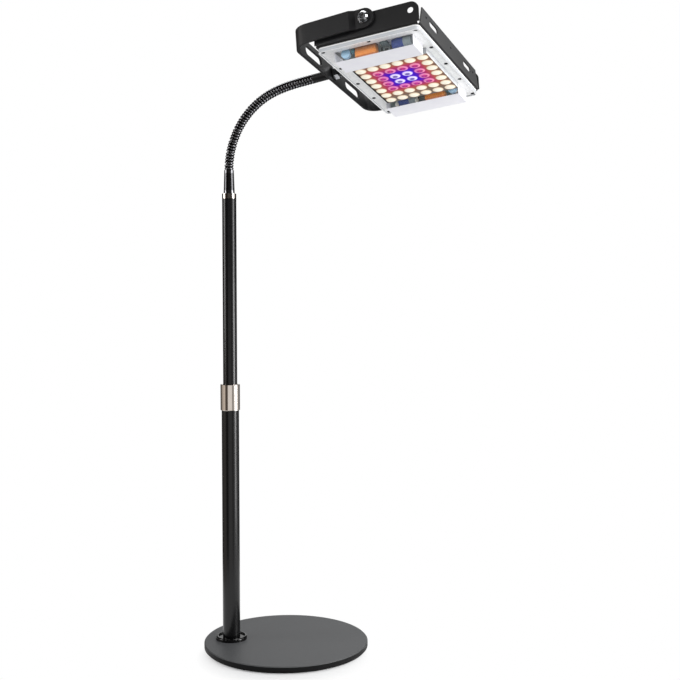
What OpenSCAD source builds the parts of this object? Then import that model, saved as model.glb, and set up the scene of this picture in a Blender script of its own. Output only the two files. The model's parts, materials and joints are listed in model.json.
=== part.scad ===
// Plant grow lamp: a weighted round foot, a two-stage pole, a ribbed gooseneck and a lamp head in a yoke.
// Sizes are in millimetres. The origin is the centre of the foot's underside.
// +X runs from the pole towards the centre of the foot, and +Z is up.

/* [Foot] */
// Diameter of the base plate
base_d = 240; // [210:1:300]
// Thickness of the steel base plate
base_plate_t = 8; // [7:0.5:12]
// Chamfer round the plate's upper edge
base_chamfer = 1.2; // [0.4:0.1:2]
// Thickness of the soft pad under the plate
base_pad_t = 1.5; // [1:0.5:4]
// How far the pad's edge lies inside the plate's edge
base_pad_inset = 2; // [1:0.5:8]
// Distance of the pole's axis from the centre of the foot
pole_offset = 81; // [40:1:85]
// Width of the foot flange's dish, from the pole to its rim
flange_w = 10; // [8:0.5:16]
// Height of the foot flange's rim
flange_h = 5; // [4.5:0.5:8]
// Radius of the rounded rim of the foot flange
flange_rim_r = 2.2; // [1.6:0.1:2.2]
// Height of the threaded plug in the pole's foot
foot_plug_h = 24; // [18:1:40]
// Thread diameter of the pole screw
pole_screw_d = 8; // [6:1:10]
// Depth of the pole screw's countersunk head
pole_screw_head_h = 4; // [3:0.5:5]
// Length of the pole screw's thread inside the foot plug
pole_screw_grip = 16; // [10:1:17]

/* [Pole] */
// Outside diameter of the lower tube
lower_tube_d = 25.4; // [25:0.1:32]
// Wall of both tubes
tube_wall = 1.2; // [1:0.1:1.5]
// Length of the lower tube
lower_tube_l = 371; // [250:1:500]
// Outside diameter of the upper tube
upper_tube_d = 20.6; // [18:0.1:20.6]
// Length of the upper tube
upper_tube_l = 340; // [325:1:365]
// Length of the upper tube that stands out of the collar
mast_extension = 269; // [240:1:275]
// Wall of the locking collar
collar_wall = 1.5; // [1:0.1:4]
// Length of the locking collar
collar_l = 38; // [25:1:60]
// Thickness of the collar's inward lip
collar_lip_t = 3; // [2:0.5:6]
// Thickness of the collet's flange, between the tube's end and the collar's lip
collet_flange_t = 3; // [2:0.5:6]
// Length of the collet inside the lower tube
collet_l = 30; // [20:1:32]
// Width of the slits that let the collet close on the tube
collet_slit_w = 1.5; // [0.8:0.1:2.5]
// Height of the guide bush below the upper tube
guide_bush_h = 8; // [4:1:15]
// Length of the spigots that plug into the upper tube
tube_spigot_l = 12; // [8:1:20]
// Height of the bright ring on the upper tube's end
end_ring_h = 7; // [4:0.5:12]

/* [Gooseneck] */
// Length of the lower ferrule
lower_ferrule_l = 34; // [20:1:50]
// Diameter of the lower ferrule where it meets the bright ring
lower_ferrule_d = 16; // [14:0.2:18]
// Diameter over the ribs
neck_d = 13; // [12:0.2:15]
// Spacing of the ribs
rib_pitch = 4.2; // [3.8:0.1:5]
// Depth of the grooves between the ribs
rib_depth = 0.9; // [0.5:0.1:1.1]
// Radius of the ball that joins each link to the next
neck_ball_r = 4.8; // [4.3:0.1:4.8]
// Diameter of the bore that the lead runs through
neck_bore_d = 5.2; // [4:0.2:6]
// Sharpest bend at one link, in degrees
link_bend_max = 12; // [10:0.5:13]
// Length of the upper ferrule
upper_ferrule_l = 26; // [12:0.5:40]
// Thread diameter of the hollow stud on the upper ferrule
stud_d = 10; // [9:0.5:12]
// Length of the stud that stands out of the nut
stud_end_l = 4; // [1:0.5:8]
// Height of the neck nut
neck_nut_h = 7; // [5:0.5:9]
// Width across the flats of the neck nut
neck_nut_af = 16; // [15:0.5:19]
// Thickness of the washers on the stud
stud_washer_t = 1.5; // [1:0.1:3]
// Diameter of the washers on the stud
stud_washer_d = 20; // [17:0.5:26]

/* [Yoke] */
// Width of the yoke's flat bar
yoke_w = 26; // [24:0.5:32]
// Thickness of the yoke's flat bar
yoke_t = 3; // [2:0.5:4]
// Distance from the yoke's back face to the pivot axis
yoke_reach = 102; // [98:1:140]
// Outer radius of the yoke's two bends
yoke_bend_r = 22; // [16:1:30]
// Inward step of each arm next to the pivot
joggle_depth = 3.5; // [2:0.5:6]
// Length of the slope that makes the step
joggle_l = 7; // [5:0.5:9]
// Distance from the pivot axis to the start of the slope
joggle_reach = 19; // [18.5:0.5:32]
// Length of each slot in the yoke's back
yoke_slot_l = 48; // [20:1:50]
// Width of each slot in the yoke's back
yoke_slot_w = 12; // [5:0.5:14]
// Distance of each slot's centre from the neck
yoke_slot_y = 62; // [45:1:65]
// Thread diameter of the pivot screws
pivot_d = 8; // [6:0.5:9]
// Diameter of the pivot screws' heads
pivot_head_d = 14; // [13:0.5:18]
// Height of the pivot screws' heads
pivot_head_h = 4.5; // [3.5:0.5:7]
// Thickness of the split lock washers
lock_washer_t = 2; // [1.2:0.1:3]
// Diameter of the split lock washers
lock_washer_d = 15; // [13.5:0.5:18]
// Thickness of the flat washers between the arms and the shell
flat_washer_t = 1; // [0.6:0.1:2]
// Diameter of the flat washers
flat_washer_d = 19; // [14:0.5:22]
// Height of the pivot nuts
pivot_nut_h = 6.5; // [5:0.5:8]
// Width across the flats of the pivot nuts
pivot_nut_af = 13; // [12:0.5:15]

/* [Lamp shell] */
// Length of the shell, along the lamp's reach
shell_l = 143; // [142:1:152]
// Width of the shell, from arm to arm
shell_w = 235; // [235:1:260]
// Thickness of the shell's sheet
sheet_t = 1.5; // [1:0.1:2]
// Outer radius of the folds
fold_r = 3; // [2.5:0.5:4]
// Distance from the pivot axis to the shell's front face
front_depth = 22.4; // [18:0.2:24]
// Height of the side flanges above the pivot axis
side_flange_rise = 8; // [7:0.5:14]
// Radius of the rounded ears of the side flanges
ear_r = 11; // [9:0.5:14]
// Diameter of the hanging holes in the ears
hang_hole_d = 8; // [5:0.2:10]
// Length of the end flanges along the fold
end_flange_l = 226; // [210:1:226]
// Height of the end flanges above the shell's front face
end_flange_h = 26.5; // [21:0.5:28]
// How far the end flanges' ends slope in
end_flange_slope = 9; // [6:0.5:20]
// Length of the slots in the end flanges
end_slot_l = 29; // [14:1:34]
// Width of the slots in the end flanges
end_slot_w = 7.5; // [5:0.5:9]
// Distance of the end flanges' slots from the middle
end_slot_y = 65; // [45:1:68]
// Diameter of the small holes in the end flanges
end_hole_d = 3.6; // [2.4:0.2:5]
// Distance of the outer small holes from the middle
end_hole_y = 91; // [88:0.5:92]

/* [Heat sink] */
// Length of the heat sink along the lamp's reach
sink_l = 84; // [60:1:90]
// Width of the heat sink
sink_w = 176; // [120:1:180]
// Thickness of the heat sink's base
sink_base_t = 3; // [2:0.5:5]
// Height of the fins above the base
fin_h = 20; // [10:1:21]
// Thickness of a fin
fin_t = 1.8; // [1.2:0.1:3]
// Number of fins
fin_count = 9; // [5:1:11]
// Shift of the heat sink towards the lamp's outer end, clear of the gland
sink_shift = 6; // [2:0.5:12]

/* [Light] */
// Spacing of the LEDs
led_pitch = 17.4; // [16.5:0.1:17.4]
// Columns of LEDs, along the lamp's reach
led_columns = 6; // [5:1:6]
// Rows of LEDs, from arm to arm
led_rows = 7; // [6:1:7]
// Shift of the LED field towards the lamp's outer end
led_shift = 5.5; // [0:0.5:6]
// Shift of the LED field towards the far arm
led_far_shift = 3; // [0:0.5:4]
// Diameter of an LED's round body
led_d = 6; // [4:0.5:8]
// Height of an LED's base
led_h = 1.2; // [0.8:0.1:2]
// Thickness of the LED board
board_t = 1.6; // [1:0.2:2.4]

/* [Clear cover] */
// Thickness of the cover's flange
cover_flange_t = 3; // [2.5:0.5:5]
// Wall of the cover's raised parts
cover_wall = 2; // [1.5:0.1:2.5]
// Gap from the cover's edge to the shell's edge
cover_inset = 2.5; // [2:0.5:4]
// Corner radius of the cover
cover_corner_r = 6; // [4:0.5:9]
// Width of the raised lip round the cover
cover_lip_w = 1.8; // [1:0.2:2]
// Height of the raised lip round the cover
cover_lip_h = 1.5; // [0.5:0.1:2.5]
// Distance from the cover's edge to the screws
screw_inset = 5.5; // [5:0.1:6]
// Height of the lens field above the cover's flange
lens_field_h = 8; // [6:0.5:9]
// Diameter of one lens
lens_d = 15; // [12:0.5:16]
// Height of one lens
lens_h = 1.5; // [1:0.5:5]
// Height of the two driver boxes above the cover's flange
box_h = 14; // [13.5:0.5:18]
// Length of the driver boxes along the lamp's reach
box_l = 107; // [104:1:108]
// Width of the driver boxes
box_w = 34; // [30:0.5:34]
// Distance of the driver boxes' outer walls from the middle
box_y = 102; // [101.5:0.5:102.5]
// Shift of the driver boxes towards the lamp's outer end
box_shift = 3; // [0:0.5:4]
// Thread diameter of the cover screws
cover_screw_d = 3; // [2.5:0.5:3.5]
// Diameter of the cover screws' heads
cover_screw_head_d = 5.2; // [5:0.2:6.2]
// Height of the cover screws' heads
cover_screw_head_h = 1.2; // [1.2:0.1:2.5]
// Height of the cover nuts
cover_nut_h = 2.4; // [1.8:0.2:4]

/* [Driver parts] */
// Length of the orange film capacitor
film_cap_l = 29; // [20:0.5:29]
// Width of the film capacitor
film_cap_w = 11; // [8:0.5:14]
// Height of the film capacitor
film_cap_h = 13.5; // [8:0.5:13.5]
// Diameter of the light blue varistor
varistor_d = 12.5; // [8:0.5:12.5]
// Thickness of the varistor
varistor_t = 5; // [3:0.5:8]
// Diameter of the dark blue capacitor
bulk_cap_d = 13; // [8:0.5:13]
// Length of the dark blue capacitor
bulk_cap_l = 25; // [12:0.5:25]
// Length of the driver chip
chip_l = 9; // [6:0.5:10]
// Diameter of the lead's gland, over its thread
gland_d = 12; // [10:0.5:13]
// Width across the flats of the gland's body
gland_af = 15; // [14:0.5:15]
// Height of the gland's body
gland_h = 7; // [5:0.5:10]
// Height of the gland's domed cap
gland_cap_h = 11; // [8:0.5:14]

/* [Pose] */
// Turn of the upper pole about the lower one, in degrees
mast_turn = -21; // [-90:1:90]
// Whole bend of the gooseneck, in degrees
neck_bend = 80; // [0:0.1:100]
// Turn of the yoke about the neck's end, in degrees
yoke_roll = -12.5; // [-90:0.5:90]
// Tilt of the head between the yoke's arms, in degrees
head_tilt = 2; // [-60:1:60]

/* [Clearances] */
// Radial gap of a part that turns or slides in another
run_gap = 0.06; // [0.02:0.01:0.1]
// Radial gap of a part that is pressed, screwed or glued into another
fit_gap = 0.05; // [0:0.01:0.1]
// Gap between flat faces that turn on each other
face_gap = 0.05; // [0.02:0.01:0.1]
// Free room round a part that only passes through
pass_gap = 0.4; // [0.2:0.1:0.6]

/* [Hidden] */
$fn = 64;
eps = 0.01;

// Foot and pole heights
base_top = base_pad_t + base_plate_t;
pole_screw_head_d = pole_screw_d + 2 * pole_screw_head_h;
pad_hole_margin = 3;
pad_hole_d = pole_screw_head_d + 2 * pad_hole_margin;
flange_floor_drop = 2.2;
flange_floor_h = flange_h - flange_floor_drop;
lower_bore_d = lower_tube_d - 2 * tube_wall;
upper_bore_d = upper_tube_d - 2 * tube_wall;
lower_top = base_top + lower_tube_l;
collar_d = lower_tube_d + 2 * run_gap + 2 * collar_wall;
collar_top = lower_top + collet_flange_t + 2 * face_gap + collar_lip_t;
upper_top = collar_top + mast_extension;
upper_bottom = upper_top - upper_tube_l;
ring_top = upper_top + end_ring_h;
neck_bottom = ring_top + lower_ferrule_l;
ferrule_thread_d = 11;
lead_bore_d = 7;
lead_room = 1;
bush_bore_d = lead_bore_d + 3 * lead_room;
board_hole_d = lead_bore_d + 2 * lead_room;

// Gooseneck chain: every link turns by its share of the whole bend, and the last links turn less
neck_joints = 11;
link_ribs = 4;
root_ribs = 2;
last_link_ribs = 6;
fade_links = 4;
rib_root_r = neck_d / 2 - rib_depth;
rib_r = 1.75;
ball_gap = 0.08;
link_end_gap = 0.15;
neck_spigot_l = 8;
neck_spigot_wall = 1.7;
neck_spigot_d = neck_bore_d + 2 * neck_spigot_wall;
ferrule_step = 0.4;
ferrule_top_d = neck_d + 2 * ferrule_step;
upper_ferrule_d = neck_d - ferrule_step;
neck_start = neck_bottom + root_ribs * rib_pitch;

function bend_share(j) = min(1, (neck_joints + 1 - j) / fade_links);
function share_to(j) = j == 0 ? 0 : bend_share(j) + share_to(j - 1);
function link_lean(j) = neck_bend * share_to(j) / share_to(neck_joints);
function link_l(j) = rib_pitch * (j == neck_joints ? last_link_ribs : link_ribs);
function link_dir(j) = [sin(link_lean(j)), 0, cos(link_lean(j))];
function joint_at(j) = j == 1 ? [0, 0, neck_start] : joint_at(j - 1) + link_l(j - 1) * link_dir(j - 1);

// Stack on the neck's end, from the last rib to the end of the stud
stud_l = 2 * stud_washer_t + yoke_t + 2 * face_gap + neck_nut_h + stud_end_l;
yoke_start = upper_ferrule_l + stud_washer_t + face_gap;

// Stack on the pivot, from the shell's flange outwards
arm_end_y = shell_w / 2 + flat_washer_t + face_gap;
arm_y = arm_end_y + joggle_depth;
lock_washer_y = arm_end_y + yoke_t + face_gap;
pivot_head_y = lock_washer_y + lock_washer_t;
pivot_end_l = 1.5;
pivot_inner_y = shell_w / 2 - sheet_t - pivot_nut_h - pivot_end_l;

// Stack on the shell's front face, going towards the light
front_z = -front_depth;
board_z = front_z - board_t;
flange_z = board_z - cover_flange_t;
lens_z = flange_z - lens_field_h;
box_z = flange_z - box_h;
plate_back_z = front_z + sheet_t;

// Outlines on the shell's front face
cover_l = shell_l - 2 * cover_inset;
cover_w = shell_w - 2 * cover_inset;
lens_field_l = led_columns * led_pitch;
lens_field_w = led_rows * led_pitch;
screw_x = cover_l / 2 - screw_inset;
screw_y = cover_w / 2 - screw_inset;
screw_rows = 5;
gasket_w = 2 * screw_inset + 1;
board_l = cover_l - 2 * gasket_w;
board_w = cover_w - 2 * gasket_w;
screw_recess = 1;
hang_x = shell_l / 2 - ear_r;
hang_z = side_flange_rise - ear_r;
gland_room = 7;
gland_thread_l = gland_cap_h - 3;
gland_x = -shell_l / 2 + sheet_t + gland_d + gland_room;
cover_screw_places = concat(
    [for (s = [-1, 1], i = [0 : screw_rows - 1])
        [s * screw_x, -screw_y + 2 * screw_y * i / (screw_rows - 1)]],
    [for (s = [-1, 1]) [0, s * screw_y]]);
fin_gap = (sink_l - fin_t) / (fin_count - 1);
sink_ear = 10;
sink_screw_head_h = 2;
sink_screw_places = [for (sx = [-1, 1], sy = [-1, 1])
    [sink_shift + sx * sink_l / 3, sy * (sink_w / 2 - sink_ear / 2)]];

// Driver parts: places along the near and the far box, measured from the middle of the box
film_cap_x = [-12.5, -17.5];
varistor_x = [-39.5, -43.5];
bulk_cap_x = [36, 24];
chip_x = [12, 3.5];
part_wall_gap = 0.6;
chip_w = 12;
chip_h = 4;
rectifier_size = [4.5, 9, 7];
rectifier_x = [for (x = film_cap_x) x - film_cap_l / 2 - rectifier_size.x / 2 - pass_gap];

// Colours
steel_black = [0.13, 0.13, 0.14];
neck_black = [0.05, 0.05, 0.05];
bright_metal = [0.82, 0.80, 0.78];
zinc = [0.72, 0.73, 0.75];
nylon_white = [0.86, 0.86, 0.83];
clear_plastic = [0.86, 0.89, 0.92, 0.4];

// Frames that carry the moving pieces

// The upper pole's axis, with +X along the neck's bend
module at_mast() {
    translate([-pole_offset, 0, 0]) rotate([0, 0, mast_turn]) children();
}

// The lower joint of link j, with +Z along the link
module at_link(j) {
    at_mast() translate(joint_at(j)) rotate([0, link_lean(j), 0]) children();
}

// The end of the ribbed neck, with +Z out of it
module at_neck_end() {
    at_link(neck_joints) translate([0, 0, link_l(neck_joints)]) children();
}

// The middle of the yoke's back face, with +X towards the pivot axis and +Z to the back of the head
module at_yoke() {
    at_neck_end() translate([0, 0, yoke_start]) rotate([0, -90, 0]) rotate([yoke_roll, 0, 0]) children();
}

// The middle of the pivot axis, with -Z towards the light
module at_head() {
    at_yoke() translate([yoke_reach, 0, 0]) rotate([0, head_tilt, 0]) children();
}

// Shapes that repeat

module tube(d, bore, h) {
    difference() {
        cylinder(d = d, h = h);
        translate([0, 0, -1]) cylinder(d = bore, h = h + 2);
    }
}

module round_rect(l, w, r) {
    square([l - 2 * r, w], center = true);
    square([l, w - 2 * r], center = true);
    for (sx = [-1, 1], sy = [-1, 1]) translate([sx * (l / 2 - r), sy * (w / 2 - r)]) circle(r);
}

module hexagon(af, h) {
    cylinder(d = af / cos(30), h = h, $fn = 6);
}

// A hexagon nut with bevelled corners, bored for a thread
module bevelled_nut(af, h, thread_d) {
    corner_r = af / 2 / cos(30);
    bevel_h = 0.6 * (corner_r - af / 2);
    difference() {
        intersection() {
            hexagon(af, h);
            rotate_extrude()
                polygon([[0, 0], [af / 2, 0], [corner_r, bevel_h], [corner_r, h - bevel_h], [af / 2, h],
                         [0, h]]);
        }
        translate([0, 0, -1]) cylinder(d = thread_d + 2 * fit_gap, h = h + 2);
    }
}

// A cylinder along +Y, from y0 to y1
module bar_y(d, y0, y1) {
    translate([0, y1, 0]) rotate([90, 0, 0]) cylinder(d = d, h = y1 - y0);
}

// A slot's cutter along X, long in Y
module slot_x(l, w, depth) {
    translate([-depth / 2, 0, 0]) rotate([90, 0, 90]) linear_extrude(depth) {
        square([l - w, w], center = true);
        for (s = [-1, 1]) translate([s * (l - w) / 2, 0]) circle(d = w);
    }
}

// A quarter of a sheet fold, from the -Y direction to the +X direction of its centre
module fold_arc(r, t) {
    intersection() {
        difference() {
            circle(r);
            circle(r - t);
        }
        translate([0, -r]) square(r);
    }
}

// Both sides of the head, the second mirrored
module both_sides() {
    children();
    mirror([0, 1, 0]) children();
}

// Both driver boxes, the second turned half a turn
module both_boxes() {
    for (a = [0, 180]) rotate([0, 0, a]) translate([box_shift * cos(a), -box_y + box_w / 2, 0]) children();
}

// A part of width w in both boxes, next to the wall on the near arm's side, with its place in each box
module by_wall(w, x) {
    shift = box_w / 2 - cover_wall - part_wall_gap - w / 2;
    for (i = [0, 1]) rotate([0, 0, 180 * i])
        translate([box_shift * (1 - 2 * i) + x[i], -box_y + box_w / 2 - shift * (1 - 2 * i), 0]) children();
}

// Foot

module base_plate() {
    r = base_d / 2;
    color(steel_black) difference() {
        translate([0, 0, base_pad_t]) rotate_extrude($fn = 180)
            polygon([[0, 0], [r - base_chamfer / 2, 0], [r, base_chamfer / 2],
                     [r, base_plate_t - base_chamfer], [r - base_chamfer, base_plate_t], [0, base_plate_t]]);
        translate([-pole_offset, 0, base_pad_t]) {
            translate([0, 0, -eps])
                cylinder(d1 = pole_screw_head_d + 2 * fit_gap, d2 = pole_screw_d + 2 * fit_gap,
                         h = pole_screw_head_h);
            cylinder(d = pole_screw_d + 2 * fit_gap, h = base_plate_t + 1);
        }
    }
}

module base_pad() {
    color([0.09, 0.09, 0.09]) difference() {
        cylinder(d = base_d - 2 * base_pad_inset, h = base_pad_t, $fn = 180);
        translate([-pole_offset, 0, -1]) cylinder(d = pad_hole_d, h = base_pad_t + 2);
    }
}

// A turned dish with a rounded rim
module foot_flange() {
    inner_r = lower_tube_d / 2 + fit_gap;
    rim_x = inner_r + flange_w - flange_rim_r;
    color(neck_black) translate([-pole_offset, 0, base_top]) rotate_extrude() difference() {
        union() {
            translate([inner_r, 0]) square([flange_w, flange_h - flange_rim_r]);
            translate([rim_x, flange_h - flange_rim_r]) circle(flange_rim_r);
        }
        translate([inner_r - 1, flange_floor_h]) square([rim_x - flange_rim_r - inner_r + 1, flange_h]);
        translate([0, -flange_h]) square([2 * rim_x, flange_h]);
    }
}

module foot_plug() {
    color(zinc) translate([-pole_offset, 0, base_top])
        tube(lower_bore_d - 2 * fit_gap, pole_screw_d + 2 * fit_gap, foot_plug_h);
}

module pole_screw() {
    socket_af = pole_screw_d * 0.6;
    color(zinc) translate([-pole_offset, 0, base_pad_t]) difference() {
        union() {
            cylinder(d1 = pole_screw_head_d, d2 = pole_screw_d, h = pole_screw_head_h);
            cylinder(d = pole_screw_d, h = base_plate_t + pole_screw_grip);
        }
        translate([0, 0, -1]) hexagon(socket_af, pole_screw_head_h);
    }
}

// Pole

module lower_tube() {
    color(steel_black) translate([-pole_offset, 0, base_top]) tube(lower_tube_d, lower_bore_d, lower_tube_l);
}

// A slit sleeve with a flange that the collar presses on
module grip_collet() {
    flange_d = lower_tube_d - 2 * pass_gap;
    slits = 4;
    color(nylon_white) at_mast() translate([0, 0, lower_top]) difference() {
        union() {
            translate([0, 0, face_gap]) cylinder(d = flange_d, h = collet_flange_t);
            translate([0, 0, -collet_l])
                cylinder(d = lower_bore_d - 2 * run_gap, h = collet_l + face_gap + eps);
        }
        translate([0, 0, -collet_l - 1])
            cylinder(d = upper_tube_d + 2 * run_gap, h = collet_l + collet_flange_t + 3);
        for (i = [0 : slits - 1]) rotate([0, 0, 360 * i / slits])
            translate([0, -collet_slit_w / 2, -collet_l - 1])
                cube([lower_tube_d, collet_slit_w, collet_l * 0.8 + 1]);
    }
}

module locking_collar() {
    edge = 0.6;
    r = collar_d / 2;
    bore_r = lower_tube_d / 2 + run_gap;
    lip_r = upper_tube_d / 2 + pass_gap;
    color(bright_metal) translate([-pole_offset, 0, collar_top - collar_l]) rotate_extrude()
        polygon([[bore_r, 0], [r - edge, 0], [r, edge], [r, collar_l - edge], [r - edge, collar_l],
                 [lip_r, collar_l], [lip_r, collar_l - collar_lip_t], [bore_r, collar_l - collar_lip_t]]);
}

module upper_tube() {
    color(steel_black) at_mast() translate([0, 0, upper_bottom])
        tube(upper_tube_d, upper_bore_d, upper_tube_l);
}

module guide_bush() {
    color(nylon_white) at_mast() difference() {
        union() {
            translate([0, 0, upper_bottom - guide_bush_h])
                cylinder(d = lower_bore_d - 2 * run_gap, h = guide_bush_h);
            translate([0, 0, upper_bottom - eps])
                cylinder(d = upper_bore_d - 2 * fit_gap, h = tube_spigot_l + eps);
        }
        translate([0, 0, upper_bottom - guide_bush_h - 1])
            cylinder(d = bush_bore_d, h = guide_bush_h + tube_spigot_l + 2);
    }
}

module tube_end_ring() {
    color(bright_metal) at_mast() translate([0, 0, upper_top]) difference() {
        union() {
            cylinder(d = upper_tube_d, h = end_ring_h);
            translate([0, 0, -tube_spigot_l])
                cylinder(d = upper_bore_d - 2 * fit_gap, h = tube_spigot_l + eps);
        }
        translate([0, 0, -tube_spigot_l - 1])
            cylinder(d = ferrule_thread_d + 2 * fit_gap, h = tube_spigot_l + end_ring_h + 2);
    }
}

// Gooseneck

module neck_lower_ferrule() {
    thread_l = end_ring_h + tube_spigot_l - 2;
    color(neck_black) at_mast() translate([0, 0, ring_top]) difference() {
        union() {
            cylinder(d1 = lower_ferrule_d, d2 = ferrule_top_d, h = lower_ferrule_l);
            translate([0, 0, -thread_l]) cylinder(d = ferrule_thread_d, h = thread_l + eps);
        }
        translate([0, 0, -thread_l - 1]) cylinder(d = lead_bore_d, h = thread_l + lower_ferrule_l + 2);
        translate([0, 0, lower_ferrule_l - neck_spigot_l - pass_gap])
            cylinder(d = neck_spigot_d + 2 * fit_gap, h = neck_spigot_l + 1);
    }
}

// Half outline of a ribbed stretch, from the joint at 0 to the joint at l.
// Both ends slope back by half of the sharpest bend, so that the ribs stay clear of each other.
module rib_outline(ribs, low_joint, high_joint) {
    l = ribs * rib_pitch;
    r = neck_d / 2;
    slope = tan(link_bend_max / 2);
    low_end = low_joint ? link_end_gap : 0;
    high_end = high_joint ? l - link_end_gap : l;
    intersection() {
        union() {
            square([rib_root_r, l]);
            for (i = [0 : ribs - 1]) translate([r - rib_r, (i + 0.5) * rib_pitch]) circle(rib_r, $fn = 24);
        }
        polygon([[0, low_end], [r, low_end + (low_joint ? r * slope : 0)],
                 [r, high_end - (high_joint ? r * slope : 0)], [0, high_end]]);
    }
}

// A ribbed stretch with a ball on its upper end and a socket in its lower end, where it has joints there
module ribbed_link(ribs, low_joint, high_joint) {
    l = ribs * rib_pitch;
    ball_cut = 2.6;
    rotate_extrude($fn = 48) difference() {
        union() {
            rib_outline(ribs, low_joint, high_joint);
            if (high_joint) intersection() {
                translate([0, l]) circle(neck_ball_r);
                translate([0, l - 2 * ball_cut]) square([neck_ball_r, 3 * ball_cut]);
            }
            if (!high_joint) translate([0, l - eps]) square([neck_spigot_d / 2, neck_spigot_l]);
            if (!low_joint) translate([0, -neck_spigot_l]) square([neck_spigot_d / 2, neck_spigot_l + eps]);
        }
        if (low_joint) circle(neck_ball_r + ball_gap);
        translate([-2 * neck_d, -l]) square([2 * neck_d + neck_bore_d / 2, 4 * l]);
    }
}

module neck_root() {
    color(neck_black) at_mast() translate([0, 0, neck_bottom]) ribbed_link(root_ribs, false, true);
}

module neck_link(j) {
    last = j == neck_joints;
    color(neck_black) at_link(j) ribbed_link(last ? last_link_ribs : link_ribs, true, !last);
}

// A plain sleeve on the last ribs, with a hollow threaded stud
module neck_upper_ferrule() {
    edge = 0.8;
    r = upper_ferrule_d / 2;
    color(neck_black) at_neck_end() difference() {
        rotate_extrude()
            polygon([[0, 0], [r, 0], [r, upper_ferrule_l - edge], [r - edge, upper_ferrule_l],
                     [stud_d / 2, upper_ferrule_l], [stud_d / 2, upper_ferrule_l + stud_l],
                     [0, upper_ferrule_l + stud_l]]);
        translate([0, 0, -1]) cylinder(d = neck_spigot_d + 2 * fit_gap, h = neck_spigot_l + pass_gap + 1);
        translate([0, 0, -1]) cylinder(d = neck_bore_d, h = upper_ferrule_l + stud_l + 2);
    }
}

module stud_washers() {
    color([0.1, 0.1, 0.1]) at_neck_end() {
        for (z = [0, stud_washer_t + yoke_t + 2 * face_gap])
            translate([0, 0, upper_ferrule_l + z]) tube(stud_washer_d, stud_d + 2 * fit_gap, stud_washer_t);
    }
}

module neck_nut() {
    start = upper_ferrule_l + 2 * stud_washer_t + yoke_t + 2 * face_gap;
    color(zinc) at_neck_end() translate([0, 0, start]) bevelled_nut(neck_nut_af, neck_nut_h, stud_d);
}

// Yoke

// Plan of the yoke: the back, two bends, and arms that step inwards before the pivot
module yoke_plan() {
    outer = arm_y + yoke_t;
    slope_end = yoke_reach - joggle_reach + joggle_l;
    slope_start = yoke_reach - joggle_reach;
    translate([0, -outer + yoke_bend_r]) square([yoke_t, 2 * (outer - yoke_bend_r)]);
    for (s = [0, 1]) mirror([0, s]) {
        translate([yoke_bend_r, -outer + yoke_bend_r]) mirror([1, 0]) fold_arc(yoke_bend_r, yoke_t);
        translate([yoke_bend_r, -outer]) square([slope_start - yoke_bend_r, yoke_t]);
        polygon([[slope_start, -outer], [slope_end, -outer + joggle_depth],
                 [slope_end, -arm_end_y], [slope_start, -arm_y]]);
        translate([slope_end, -arm_end_y - yoke_t]) square([yoke_reach + yoke_w / 2 - slope_end, yoke_t]);
    }
}

module yoke() {
    outer = arm_y + yoke_t;
    color(steel_black) at_yoke() difference() {
        intersection() {
            translate([0, 0, -yoke_w / 2]) linear_extrude(yoke_w) yoke_plan();
            translate([0, outer + 1, 0]) rotate([90, 0, 0]) linear_extrude(2 * outer + 2) {
                translate([-1, -yoke_w / 2]) square([yoke_reach + 1, yoke_w]);
                translate([yoke_reach, 0]) circle(d = yoke_w);
            }
        }
        translate([-1, 0, 0]) rotate([0, 90, 0]) cylinder(d = stud_d + 2 * run_gap, h = yoke_t + 2);
        for (s = [-1, 1]) translate([yoke_t / 2, s * yoke_slot_y, 0])
            slot_x(yoke_slot_l, yoke_slot_w, 3 * yoke_t);
        translate([yoke_reach, 0, 0]) bar_y(pivot_d + 2 * run_gap, -outer - 1, outer + 1);
    }
}

// Button-headed screws with a hexagon socket
module pivot_screws() {
    socket_af = pivot_d * 0.75;
    edge = pivot_head_h * 0.45;
    r = pivot_head_d / 2;
    color(zinc) at_head() both_sides() difference() {
        union() {
            bar_y(pivot_d, -pivot_head_y - eps, -pivot_inner_y);
            translate([0, -pivot_head_y, 0]) rotate([90, 0, 0]) rotate_extrude()
                polygon([[0, 0], [r, 0], [r, pivot_head_h - edge], [r - edge, pivot_head_h],
                         [0, pivot_head_h]]);
        }
        translate([0, -pivot_head_y - pivot_head_h / 3, 0]) rotate([90, 0, 0])
            hexagon(socket_af, pivot_head_h);
    }
}

module lock_washers() {
    cut_w = 1.6;
    color(bright_metal) at_head() both_sides() difference() {
        bar_y(lock_washer_d, -pivot_head_y, -lock_washer_y);
        bar_y(pivot_d + 2 * fit_gap, -pivot_head_y - 1, -lock_washer_y + 1);
        rotate([0, 30, 0]) translate([0, -pivot_head_y - 1, -cut_w / 2])
            cube([lock_washer_d, lock_washer_t + 2, cut_w]);
    }
}

module flat_washers() {
    color([0.1, 0.1, 0.1]) at_head() both_sides() difference() {
        bar_y(flat_washer_d, -shell_w / 2 - flat_washer_t, -shell_w / 2);
        bar_y(pivot_d + 2 * fit_gap, -shell_w, shell_w);
    }
}

module pivot_nuts() {
    outer_y = shell_w / 2 - sheet_t;
    color(zinc) at_head() both_sides() translate([0, -outer_y + pivot_nut_h, 0]) rotate([90, 0, 0])
        bevelled_nut(pivot_nut_af, pivot_nut_h, pivot_d);
}

// Head

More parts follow.
